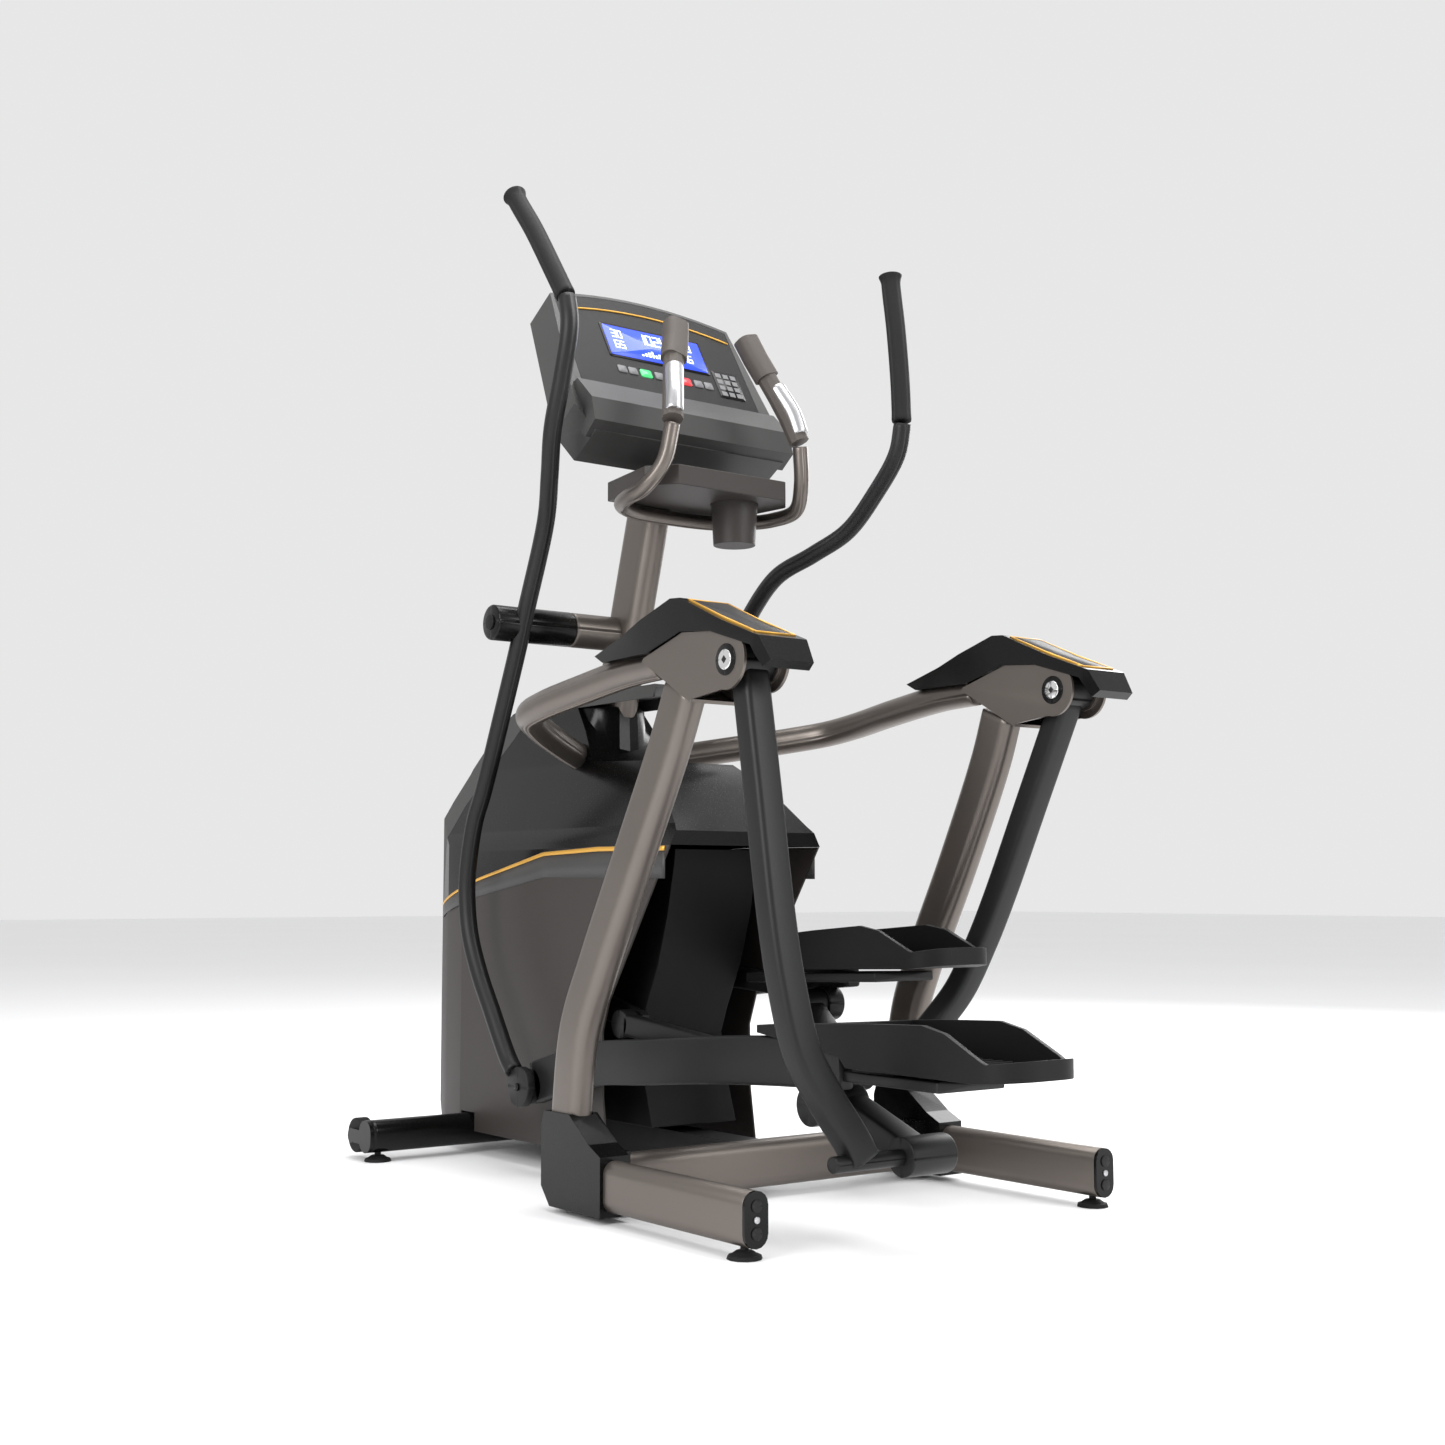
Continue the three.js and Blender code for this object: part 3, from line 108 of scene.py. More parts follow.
def material(name, paint, **constants):
    """A material whose constant sockets are set directly; paint(place) gives those that vary."""
    made = bpy.data.materials.new(name)
    made.use_nodes = True
    tree = made.node_tree
    tree.nodes.clear()
    place = Wire(tree, tree.nodes.new("ShaderNodeTexCoord").outputs["Object"])
    shader = place.node("ShaderNodeBsdfPrincipled", **constants, **paint(place))
    tree.links.new(shader.socket, tree.nodes.new("ShaderNodeOutputMaterial").inputs["Surface"])
    return made


def new_object(name, points, faces, smooth=True):
    """An object at the origin from points (N, 3) and faces, its faces turned outwards."""
    mesh = bpy.data.meshes.new(name)
    mesh.from_pydata(np.asarray(points).tolist(), [], faces)
    mesh.validate()
    mesh.polygons.foreach_set("use_smooth", [smooth] * len(mesh.polygons))
    made = bpy.data.objects.new(name, mesh)
    scene.collection.objects.link(made)
    return made


def floor_paint(place):
    return {"Base_Color": place.noise(0.6).mixed(rgba(0.86, 0.86, 0.87), rgba(0.9, 0.9, 0.91))}


def rgba(red, green, blue):
    return (red, green, blue, 1.0)


floor_half = 30.0
floor = new_object(
    "studio_floor",
    [
        (-floor_half, -floor_half, 0), (floor_half, -floor_half, 0), (floor_half, floor_half, 0),
        (-floor_half, floor_half, 0),
    ],
    [(0, 1, 2, 3)],
)
floor.data.materials.append(material("floor_paint", floor_paint, Roughness=0.6))


def soft_lamp(name, place, aim, size, power):
    """A square area lamp at a place, facing a point."""
    lamp = bpy.data.lights.new(name, "AREA")
    lamp.shape, lamp.size, lamp.energy = "SQUARE", size, power
    made = bpy.data.objects.new(name, lamp)
    made.location = place
    made.rotation_euler = (Vector(aim) - Vector(place)).to_track_quat("-Z", "Y").to_euler()
    scene.collection.objects.link(made)


soft_lamp("overhead_lamp", (0.3, -0.2, 4.6), (0, 0, 0.6), 3.2, 190)
soft_lamp("left_lamp", (-4.2, -1.2, 2.4), (0, 0, 0.8), 2.4, 150)
soft_lamp("rear_lamp", (1.4, -4.6, 2.6), (0, 0, 0.7), 2.2, 110)
soft_lamp("right_lamp", (4.2, 1.4, 2.8), (0, 0, 0.8), 2.4, 110)
world = bpy.data.worlds.new("studio_air")
world.use_nodes = True
world.node_tree.nodes["Background"].inputs["Color"].default_value = rgba(1, 1, 1)
world.node_tree.nodes["Background"].inputs["Strength"].default_value = 0.8
scene.world = world
scene.view_settings.view_transform = "Standard"

lens = bpy.data.cameras.new("camera")
lens.lens = 36 * 1827.21 / 1445
lens.clip_end = 200
camera = bpy.data.objects.new("camera", lens)
camera_yaw, camera_pitch = math.radians(36.597), math.radians(5.236)
camera.location = mm(-1946.0, -2467.7, 515.5)
camera.rotation_euler = (math.pi / 2 + camera_pitch, 0, -camera_yaw)
scene.collection.objects.link(camera)
scene.camera = camera

# ---- Finishes ----
# Steel is powder coated: gunmetal with a fine metallic flake on the frame, satin black on what
# moves. Shells are fine-textured moulded plastic, grips are matte rubber.


def coat(low, high, flake, rough, grain, depth):
    """A coat of paint or moulded plastic: colour drift, roughness drift and a fine grain."""

    def paint(place):
        drift = place.noise(5.0)
        fine = place.noise(grain, 2.0)
        color = drift.mixed(rgba(*low), rgba(*high))
        sparkle = place.node("ShaderNodeTexVoronoi", Vector=place, Scale=flake) * 0.12
        return {
            "Base_Color": color,
            "Roughness": drift * 0.06 + sparkle + rough,
            "Normal": place.bump(fine, depth),
        }

    return paint


gunmetal = material(
    "gunmetal_paint",
    coat((0.135, 0.118, 0.106), (0.155, 0.136, 0.122), 900, 0.27, 700, 0.00012),
    Metallic=0.8,
)
satin_black = material(
    "satin_black_paint",
    coat((0.004, 0.004, 0.0042), (0.007, 0.007, 0.0073), 900, 0.36, 500, 0.0001),
    Specular_IOR_Level=0.3,
)
gloss_black = material(
    "gloss_black_plastic",
    coat((0.0015, 0.0015, 0.0015), (0.003, 0.003, 0.003), 600, 0.14, 60, 0.00005),
    Specular_IOR_Level=0.22,
)
grained_black = material(
    "grained_black_plastic",
    coat((0.003, 0.003, 0.003), (0.005, 0.005, 0.005), 700, 0.4, 1100, 0.00018),
    Specular_IOR_Level=0.2,
)
shell_brown = material(
    "shell_brown_plastic",
    coat((0.026, 0.022, 0.02), (0.032, 0.027, 0.025), 800, 0.38, 1300, 0.00012),
    Specular_IOR_Level=0.3,
)
shell_grey = material(
    "shell_grey_plastic",
    coat((0.034, 0.033, 0.0325), (0.042, 0.041, 0.04), 800, 0.36, 1300, 0.00012),
    Specular_IOR_Level=0.35,
)
rubber = material(
    "black_rubber",
    coat((0.005, 0.005, 0.005), (0.008, 0.008, 0.008), 500, 0.62, 900, 0.0003),
    Specular_IOR_Level=0.25,
)
taupe_rubber = material(
    "taupe_rubber", coat((0.055, 0.046, 0.04), (0.07, 0.058, 0.05), 500, 0.55, 900, 0.0003)
)
chrome = material(
    "chrome", coat((0.7, 0.7, 0.71), (0.8, 0.8, 0.8), 200, 0.04, 40, 0.00002), Metallic=1.0
)
steel = material(
    "turned_steel", coat((0.4, 0.4, 0.41), (0.5, 0.5, 0.51), 400, 0.25, 300, 0.0001), Metallic=1.0
)
gold = material(
    "gold_paint", coat((0.62, 0.33, 0.045), (0.7, 0.38, 0.06), 500, 0.3, 500, 0.00005), Metallic=0.6
)

# ---- The linkage ----
# Each side hangs a swing arm from the shoulder axle; a lift link, a foot link and a handle arm close
# it. The right side is the left one mirrored and moved on by half a turn of the crank.
SHOULDER = np.array([-368.0, 847.0])
HUB = np.array([472.0, 1008.0])
ARM_FOOT = np.array([440.0, 161.0])
SWING_LENGTH, SWING_REST, SWING_PHASE, LIFT_RATIO = 722.0, math.radians(-9.7), math.radians(36.2), -0.43


def turned(point, centre, angle):
    """A (y, z) point turned about a centre."""
    c, s = math.cos(angle), math.sin(angle)
    return centre + np.array([[c, -s], [s, c]]) @ (point - centre)


def bearing(a, b):
    """The direction of (y, z) point b from a, in radians."""
    return math.atan2(b[1] - a[1], b[0] - a[0])


AXLE = SHOULDER + SWING_LENGTH * np.array([math.sin(SWING_REST), -math.cos(SWING_REST)])
PIVOT = AXLE + (160, 60)
AXLE_MOVED = turned(AXLE, SHOULDER, SWING_PHASE)
LIFT_TURN = SWING_PHASE * (1 + LIFT_RATIO)
PIVOT_MOVED = turned(PIVOT, AXLE, LIFT_TURN) - AXLE + AXLE_MOVED
span = np.linalg.norm(HUB - PIVOT_MOVED)
link_length, arm_length = np.linalg.norm(PIVOT - ARM_FOOT), np.linalg.norm(HUB - ARM_FOOT)
along = (link_length**2 - arm_length**2 + span**2) / (2 * span)
aside = math.sqrt(link_length**2 - along**2)
toward = (HUB - PIVOT_MOVED) / span
FOOT_MOVED = PIVOT_MOVED + along * toward + aside * np.array([toward[1], -toward[0]])
LINK_TURN = bearing(PIVOT_MOVED, FOOT_MOVED) - bearing(PIVOT, ARM_FOOT)
ARM_TURN = bearing(HUB, FOOT_MOVED) - bearing(HUB, ARM_FOOT)


def carried(start, end, angle):
    """The transform that mirrors a left piece to the right, turns it and moves its pivot."""
    a, b = Vector(mm(0, *start)), Vector(mm(0, *end))
    turn = Matrix.Translation(b) @ Matrix.Rotation(angle, 4, "X") @ Matrix.Translation(-a)
    return turn @ Matrix.Scale(-1, 4, (1, 0, 0))


RIGHT = {
    "frame": Matrix.Scale(-1, 4, (1, 0, 0)),
    "swing": carried(SHOULDER, SHOULDER, SWING_PHASE),
    "lift": carried(AXLE, AXLE_MOVED, LIFT_TURN),
    "foot_link": carried(PIVOT, PIVOT_MOVED, LINK_TURN),
    "handle": carried(HUB, HUB, ARM_TURN),
}
BODY = {
    "frame": "frame", "swing": "swing_{}", "lift": "lift_{}", "foot_link": "foot_link_{}_body",
    "handle": "handle_{}",
}


def both_sides(made, part, node, finish, replace=True):
    """A left piece and its right twin, each riding on its body and standing for its CAD node."""
    name = made.name
    made.data.materials.append(finish)
    twin = made.copy()
    twin.data = made.data.copy()
    twin.data.transform(RIGHT[part])
    twin.data.flip_normals()
    scene.collection.objects.link(twin)
    for side, piece in (("left", made), ("right", twin)):
        piece.name = f"{name}_{side}"
        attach(piece, BODY[part].format(side))
        if replace:
            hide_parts(*[n.format(side) for n in node])
    return made, twin


def single(made, nodes, finish, body="frame"):
    """A piece that rides on one body and stands for some CAD nodes."""
    made.data.materials.append(finish)
    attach(made, body)
    if nodes:
        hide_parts(*nodes)
    return made


def smooth_path(points, count):
    """Points along a curve through the given ones: cubic Hermite pieces over the chord length."""
    points = np.array(points, float)
    chord = np.concatenate([[0], np.cumsum(np.linalg.norm(np.diff(points, axis=0), axis=1) ** 0.5)])
    slope = np.gradient(points, chord, axis=0)
    t = np.linspace(0, chord[-1], count)
    i = np.clip(np.searchsorted(chord, t, side="right") - 1, 0, len(points) - 2)
    h = (chord[i + 1] - chord[i])[:, None]
    u = ((t - chord[i])[:, None]) / h
    return (
        (2 * u**3 - 3 * u**2 + 1) * points[i]
        + (u**3 - 2 * u**2 + u) * h * slope[i]
        + (3 * u**2 - 2 * u**3) * points[i + 1]
        + (u**3 - u**2) * h * slope[i + 1]
    )


def rounded_section(width, height, radius, arc=6):
    """The corners of a rounded rectangle, each a quarter circle."""
    angle = np.concatenate([np.linspace(k, k + 1, arc) for k in range(4)]) * math.pi / 2
    corner = np.repeat(np.array([[1, 1], [-1, 1], [-1, -1], [1, -1]]), arc, axis=0)
    inset = np.array([width / 2 - radius, height / 2 - radius])
    return corner * inset + radius * np.stack([np.cos(angle), np.sin(angle)], 1)


def tube(name, path, section, side=(1, 0, 0), scale=None, edge=1.5):
    """A section carried along a path (mm), its first axis kept near a side direction; ends rounded.

    Each ring is centre + section_x * a + section_y * b, with b = tangent x side and a = b x tangent.
    """
    path = np.array(path, float)
    tangent = np.gradient(path, axis=0)
    tangent /= np.linalg.norm(tangent, axis=1)[:, None]
    b = np.cross(tangent, np.array(side, float))
    b /= np.linalg.norm(b, axis=1)[:, None]
    a = np.cross(b, tangent)
    grow = np.ones(len(path)) if scale is None else np.array(scale, float)
    half = np.abs(section).max()
    lead = ((0.0, 1 - edge / half), (edge * 0.3, 1 - edge * 0.3 / half))
    starts = [path[:1] + tangent[:1] * d for d, _ in lead]
    ends = [path[-1:] - tangent[-1:] * d for d, _ in lead[::-1]]
    centres = np.concatenate([*starts, path[1:-1], *ends])
    size = np.concatenate(
        [[s * grow[0] for _, s in lead], grow[1:-1], [s * grow[-1] for _, s in lead[::-1]]]
    )
    pick = np.concatenate([[0, 0], np.arange(1, len(path) - 1), [len(path) - 1] * 2])
    spread = section[None, :, :1] * a[pick][:, None] + section[None, :, 1:] * b[pick][:, None]
    rings = centres[:, None] + size[:, None, None] * spread
    return grid_solid(name, rings)


def grid_solid(name, rings):
    """A closed solid from rings of points (N, M, 3) in mm, with a flat fan over each end."""
    n, m = rings.shape[:2]
    points = np.concatenate([rings.reshape(-1, 3), rings[:1].mean(1), rings[-1:].mean(1)])
    i, j = np.meshgrid(np.arange(n - 1), np.arange(m), indexing="ij")
    k = (j + 1) % m
    quads = np.stack([i * m + j, i * m + k, (i + 1) * m + k, (i + 1) * m + j], -1).reshape(-1, 4)
    ring = np.arange(m)
    after = (ring + 1) % m
    low = np.stack([after, ring, np.full(m, n * m)], 1)
    high = np.stack([(n - 1) * m + ring, (n - 1) * m + after, np.full(m, n * m + 1)], 1)
    faces = quads.tolist() + low.tolist() + high.tolist()
    made = new_object(name, np.array([mm(*p) for p in points]), faces)
    facing_out(made)
    return made


def facing_out(made):
    """Turns a closed mesh the right way round, by the sign of its volume."""
    mesh = made.data
    mesh.calc_loop_triangles()
    co = np.empty(len(mesh.vertices) * 3)
    mesh.vertices.foreach_get("co", co)
    co = co.reshape(-1, 3)
    tri = np.empty(len(mesh.loop_triangles) * 3, int)
    mesh.loop_triangles.foreach_get("vertices", tri)
    a, b, c = (co[tri.reshape(-1, 3)[:, k]] for k in range(3))
    if np.einsum("ij,ij->i", a, np.cross(b, c)).sum() < 0:
        mesh.flip_normals()


# ---- Frame tubes ----
# The legs, floor tubes and mast are rolled steel tubes, powder coated gunmetal and welded or bolted.
base_front, base_rear = np.array([-155, 870.0]), np.array([-282, 797.0])
base_middle = (base_front + base_rear) / 2 + np.array([0.498, -0.867]) * 6.3
leg_path = smooth_path(
    [
        (-358, 85, 100), (-358, 79, 155), (-358, 57, 290), (-354, 8, 396), (-350, -82, 560),
        (-343, -176, 740), (-339, *(base_middle + (6, -8))),
    ],
    60,
)
leg = tube("rear_leg", leg_path, rounded_section(45, 78, 20, 8))
both_sides(leg, "frame", ["rear_leg_{}"], gunmetal)

top_path = smooth_path(
    [
        (-339, -150, 866), (-339, -60, 862), (-342, 80, 845), (-346, 190, 829), (-334, 262, 818),
        (-290, 318, 807), (-180, 420, 786), (-90, 492, 769), (-66, 512, 765),
    ],
    90,
)
top_tube = tube("top_tube", top_path, rounded_section(50, 50, 25, 8), side=(0.3, 0, 1))
both_sides(top_tube, "frame", ["top_tube_{}"], gunmetal)


MAST_LEAN, MAST_CROSSING = -0.3012, (446, 1047)  # y per z, and a point (y, z) of its centre line


def mast_y(z):
    """Where the mast's centre line passes a height."""
    return MAST_CROSSING[0] + MAST_LEAN * (z - MAST_CROSSING[1])


floor_tube = tube(
    "rear_foot_tube", [(-358, y, 57) for y in (-403, -402, 120, 125)], rounded_section(42, 80, 20.5, 8)
)
both_sides(floor_tube, "frame", ["rear_foot_tube_{}"], gunmetal)
cross_tube = tube(
    "rear_cross_tube",
    [(x, 14, 57) for x in (-336, -330, 330, 336)],
    rounded_section(80, 42, 20.5, 8),
    side=(0, 0, 1),
)
single(cross_tube, ["rear_cross_tube"], gunmetal)
front_tube = tube(
    "front_foot_tube",
    [(x, 775, 47.5) for x in (-378, -370, 370, 378)],
    rounded_section(61, 50, 23, 8),
    side=(0, 0, 1),
)
single(front_tube, ["front_foot_tube"], gloss_black)
mast_path = [(0, mast_y(z), z) for z in (701, 710, 900, 1100, 1400, 1420)]
mast_tube = tube("mast_tube", mast_path, rounded_section(55, 100, 26, 10))
single(mast_tube, ["mast"], gunmetal)
hub_housing = tube(
    "hub_housing",
    [(x, 472, 1008) for x in (-126.5, -120, 120, 126.5)],
    rounded_section(66, 66, 33, 14),
    side=(0, 0, 1),
)
single(hub_housing, [], gunmetal)

# ---- Swing arms, lift links and foot links ----
# Bent rectangular steel tube, satin black. The swing arm turns on the shoulder axle and carries a
# cross axle at its foot, on which the lift link's pivot tube turns.
swing_way = np.array([math.sin(SWING_REST), -math.cos(SWING_REST)])


def down_swing(x, length):
    """A point of the left swing arm at a length below the shoulder axle."""
    return (-x, *(SHOULDER + swing_way * length))


swing_path = smooth_path(
    [
        down_swing(x, s)
        for x, s in (
            (339, 12), (339, 200), (339, 380), (334, 470), (319, 566), (287, 630), (247, 694),
            (235, 720),
        )
    ],
    70,
)
swing = tube(
    "swing_arm", swing_path, rounded_section(42, 48, 10, 5), side=(0, swing_way[1], -swing_way[0])
)
both_sides(swing, "swing", ["swing_arm_{}"], satin_black)


def round_x(name, centre, radius, x0, x1, edge=1.5, sides=12):
    """A cylinder along X with softened rims, about a (y, z) centre."""
    step = min(abs(x1 - x0) / 4, 3)
    way = 1 if x1 > x0 else -1
    xs = (x0, x0 + way * step, x1 - way * step, x1)
    return tube(
        name,
        [(x, *centre) for x in xs],
        rounded_section(2 * radius, 2 * radius, radius, sides),
        side=(0, 0, 1),
        edge=edge,
    )


both_sides(
    round_x("swing_sleeve", SHOULDER, 27, -370, -308), "swing", [], satin_black, False
)
both_sides(round_x("lower_axle", AXLE, 12, -288, -74), "swing", [], satin_black, False)
both_sides(
    round_x("pivot_tube", AXLE, 29, -160, -75), "lift", ["lift_link_{}"], satin_black
)
strut = tube(
    "lift_strut",
    [(-129, *(AXLE + (PIVOT - AXLE) * t)) for t in (0.05, 0.1, 0.9, 0.95)],
    rounded_section(54, 40, 8, 4),
)
both_sides(strut, "lift", [], satin_black, False)
both_sides(round_x("lift_boss", PIVOT, 27, -163.5, -101), "lift", [], satin_black, False)

bar_path = smooth_path(
    [
        (-206, 440, 167), (-206, 330, 195), (-206, 225, 217), (-206, 90, 229), (-196, -60, 243),
        (-186, -210, 253), (-186, -400, 262),
    ],
    60,
)
bar = tube("foot_bar", bar_path, rounded_section(26, 76, 6, 4))
both_sides(bar, "foot_link", ["foot_link_{}"], satin_black)
both_sides(
    round_x("bar_front_eye", ARM_FOOT, 32, -219, -193),
    "foot_link",
    [],
    satin_black,
    False,
)
both_sides(
    round_x("bar_rear_eye", PIVOT, 31, -198, -164), "foot_link", [], satin_black, False
)
DRIVE_EYE = np.array([258.0, 280.0])
drive_bar = tube(
    "drive_bar",
    [(-136, *(np.array([-292, 226]) * (1 - t) + DRIVE_EYE * t)) for t in (0, 0.02, 0.97, 0.99)],
    rounded_section(28, 38, 6, 4),
)
both_sides(drive_bar, "foot_link", [], satin_black, False)
both_sides(
    round_x("drive_eye", DRIVE_EYE, 25, -150, -122), "foot_link", [], satin_black, False
)
carrier = tube(
    "pedal_carrier", [(-126, y, 244) for y in (-600, -596, -254, -250)], rounded_section(130, 16, 3, 4)
)
both_sides(carrier, "foot_link", [], satin_black, False)

# ---- Handle arms ----
# Bent round tube, satin black, welded to a hub that turns on the cross axle; a rubber grip with a
# flared end is pushed over the top.
arm_path = smooth_path(
    [
        (-240, 466, 187), (-240, 488, 207), (-240, 552, 292), (-240, 600, 358), (-240, 638, 430),
        (-240, 652, 500), (-240, 650, 555), (-240, 625, 646), (-240, 594, 700), (-240, 528, 836),
        (-240, 466, 968), (-240, 440, 1030), (-238, 375, 1190), (-264, 320, 1262), (-288, 272, 1330),
        (-292, 234, 1420), (-292, 211, 1505), (-291, 222, 1560),
    ],
    150,
)
arm = tube("handle_arm", arm_path, rounded_section(33, 33, 16.5, 6))
both_sides(arm, "handle", ["handle_arm_{}"], satin_black)
both_sides(round_x("arm_hub", HUB, 33, -296, -127, 4), "handle", [], gloss_black, False)
both_sides(
    round_x("arm_hub_cap", HUB, 14, -300, -295, 1), "handle", [], grained_black, False
)
both_sides(
    round_x("arm_plate", ARM_FOOT, 36, -248, -232), "handle", [], satin_black, False
)
both_sides(
    round_x("arm_plate_bolt", ARM_FOOT, 7, -252, -248, 0.8, 4),
    "handle",
    [],
    gloss_black,
    False,
)
grip_path = smooth_path(
    [(-291, 226, 1562), (-294, 268, 1625), (-296, 330, 1712), (-298, 378, 1772), (-299, 396, 1796)], 60
)
up_grip = np.linspace(0, 1, 60)
flare, foot_ring = np.clip((up_grip - 0.9) / 0.1, 0, 1) ** 2, np.exp(-(((up_grip - 0.02) / 0.02) ** 2))
grip_scale = 1 + 0.25 * flare + 0.03 * foot_ring
grip = tube("hand_grip", grip_path, rounded_section(36, 36, 18, 8), scale=grip_scale)
both_sides(grip, "handle", ["hand_grip_{}"], rubber)


# ---- Shoulders ----
# Brackets bent from 5 mm plate and welded to the legs, the chrome shoulder axles in black rings, and
# clip-on moulded caps whose rear slope carries a black panel with a gold outline.
CREASE = math.radians(32)  # edges sharper than this are kept crisp


def bevelled_copy(node, name, width):
    """A piece with the CAD node's shape: its flat faces joined and its edges rounded."""
    joined = bmesh.new()
    joined.from_mesh(frame["nodes"][node].data)
    bmesh.ops.remove_doubles(joined, verts=joined.verts, dist=2e-5)
    bmesh.ops.dissolve_limit(
        joined, angle_limit=math.radians(1.0), verts=joined.verts, edges=joined.edges
    )
    mesh = bpy.data.meshes.new(name)
    joined.to_mesh(mesh)
    joined.free()
    mesh.polygons.foreach_set("use_smooth", [True] * len(mesh.polygons))
    made = bpy.data.objects.new(name, mesh)
    scene.collection.objects.link(made)
    if width:
        bevel = made.modifiers.new("rounded_edges", "BEVEL")
        bevel.width, bevel.segments, bevel.limit_method = width, 3, "ANGLE"
        bevel.angle_limit, bevel.harden_normals = CREASE, True
    made.data.set_sharp_from_angle(angle=CREASE)
    return made


def carry(node, width, finish, body="frame"):
    """A moulding or plate that already has its shape in the frame: softened and finished."""
    single(bevelled_copy(node, node + "_moulding", width), [node], finish, body)


SHOULDER_X = 339
for side in ("left", "right"):
    carry(f"shoulder_bracket_{side}", 0.001, gunmetal)
    carry(f"shoulder_axle_{side}", 0.001, chrome)
    carry(f"shoulder_cap_{side}", 0.002, gloss_black)


def slab(name, outline, place, near, far, edge=0.6):
    """A plate with rounded rims: an outline's rings from near to far, place(u, v, d) giving mm.

    Ring k holds place(c + s_k (outline - c), d_k), where s_k shrinks the end rings by the edge.
    """
    outline = np.array(outline, float)
    centre = outline.mean(0)
    shrink = 1 - edge / np.abs(outline - centre).max()
    steps = ((near, shrink), (near + edge, 1.0), (far - edge, 1.0), (far, shrink))
    rings = [[place(*(centre + (q - centre) * k), d) for q in outline] for d, k in steps]
    return grid_solid(name, np.array(rings))


cap_line = np.array([(-266.0, 948.0), (-364.0, 905.6), (-440.0, 877.5)])
cap_lengths = np.concatenate([[0], np.cumsum(np.linalg.norm(np.diff(cap_line, axis=0), axis=1))])


def on_cap(x, along_cap, height):
    """A point on the rear slope of the shoulder cap, and a height above it."""
    y, z = (np.interp(along_cap, cap_lengths, cap_line[:, k]) for k in range(2))
    return (x - SHOULDER_X, y - 0.4 * height, z + 0.92 * height)


def boxed(x0, x1, y0, y1, parts=6):
    """The outline of a rectangle with extra points along its long sides."""
    side = np.linspace(y0, y1, parts)
    return [(x1, v) for v in side] + [(x0, v) for v in side[::-1]]


cap_panel = slab("cap_panel", boxed(-35, 35, 4, 176, 12), on_cap, -1.5, 1.2, 0.4)
both_sides(cap_panel, "frame", [], grained_black, False)
for x0, x1, v0, v1 in (
    (-37, -34.5, 2, 178), (34.5, 37, 2, 178), (-37, 37, 1, 3.5), (-37, 37, 176, 178.5)
):
    bead = slab("cap_gold_line", boxed(x0, x1, v0, v1, 12), on_cap, -1.5, 1.8, 0.3)
    both_sides(bead, "frame", [], gold, False)
for x0, x1 in ((-382.5, -379), (-295.5, -299)):
    ring = round_x("axle_ring", SHOULDER, 23.5, x0, x1, 0.8)
    both_sides(ring, "frame", [], gloss_black, False)
for x0, x1 in ((-384.6, -381), (-293.4, -297)):
    both_sides(round_x("axle_head", SHOULDER, 15, x0, x1, 2.5), "frame", [], chrome, False)
    socket = round_x("axle_socket", SHOULDER, 6, x0 + (-0.4 if x0 < -SHOULDER_X else 0.4), x1, 0.4, 2)
    both_sides(socket, "frame", [], satin_black, False)

# ---- Floor fittings ----
# Moulded boots cover the joint of leg, floor tube and cross tube. Caps are pushed into the tube ends;
# the levelling feet screw into the tubes and the transport wheels turn on the front caps.
for side in ("left", "right"):
    carry(f"floor_boot_{side}", 0.004, gloss_black)
    carry(f"rear_foot_cap_{side}", 0.001, gloss_black)
    carry(f"front_foot_cap_{side}", 0.003, gloss_black)
    carry(f"transport_wheel_{side}", 0.003, rubber, f"wheel_{side}")
    for end in ("rear", "front"):
        carry(f"levelling_foot_{end}_{side}", 0.001, rubber, f"foot_{end}_{side}")
for z, radius, finish, slot_name in (
    (76, 9, satin_black, "black_plastic"),
    (57, 5, steel, "chrome"),
    (38, 9, satin_black, "black_plastic"),
):
    disc = tube(
        "end_cap_disc",
        [(-358, y, z) for y in (-411.2, -410.7, -408, -407)],
        rounded_section(2 * radius, 2 * radius, radius, 8),
        edge=0.6,
    )
    both_sides(disc, "frame", [], finish, False)

# ---- Casing ----
# Injection moulded shells screwed to the frame: brown side shells, a grey nose, a gloss black top
# cover and a grained rear cover. A gold line and a lighter band follow the top edge of each side.
carry("rear_cover", 0.003, grained_black)
carry("top_cover", 0.0, gloss_black)
carry("nose_shell", 0.0, shell_grey)
for side in ("left", "right"):
    carry(f"side_shell_{side}", 0.0, shell_brown)


CASING_HALF_WIDTH, NOSE_START, NOSE_LENGTH = 165, 808, 240


def shell_x(y):
    """The half width of the casing at y: straight, then the ellipse of its nose."""
    return CASING_HALF_WIDTH * math.sqrt(1 - (max(y - NOSE_START, 0) / NOSE_LENGTH) ** 2)


stripe_top = np.array([(92, 592), (304, 594), (495, 587), (743, 540), (940, 487)], float)
stripe_y = np.linspace(96, 936, 80)
stripe_z = np.interp(stripe_y, stripe_top[:, 0], stripe_top[:, 1])
taper = np.interp(stripe_y, (96, 300, 936), (1.0, 1.0, 0.5))
shell_slope = np.gradient([shell_x(y) for y in stripe_y], stripe_y)
out_of_shell = np.stack([-np.ones(80), shell_slope * -1, np.zeros(80)], 1)
out_of_shell /= np.linalg.norm(out_of_shell, axis=1)[:, None]
on_shell = np.array([(-shell_x(y), y, z) for y, z in zip(stripe_y, stripe_z)])


def shell_strip(name, drop, height, proud):
    """A thin strip along the shell: drop below the stripe line, with a height that tapers."""
    middle = on_shell - np.stack([0 * taper, 0 * taper, drop * taper], 1)
    corners = ((-1.0, -0.5), (proud, -0.5), (proud, 0.5), (-1.0, 0.5))
    rings = np.stack(
        [middle + out_of_shell * d + np.outer(taper * height * v, (0, 0, 1)) for d, v in corners], 1
    )
    return grid_solid(name, rings)


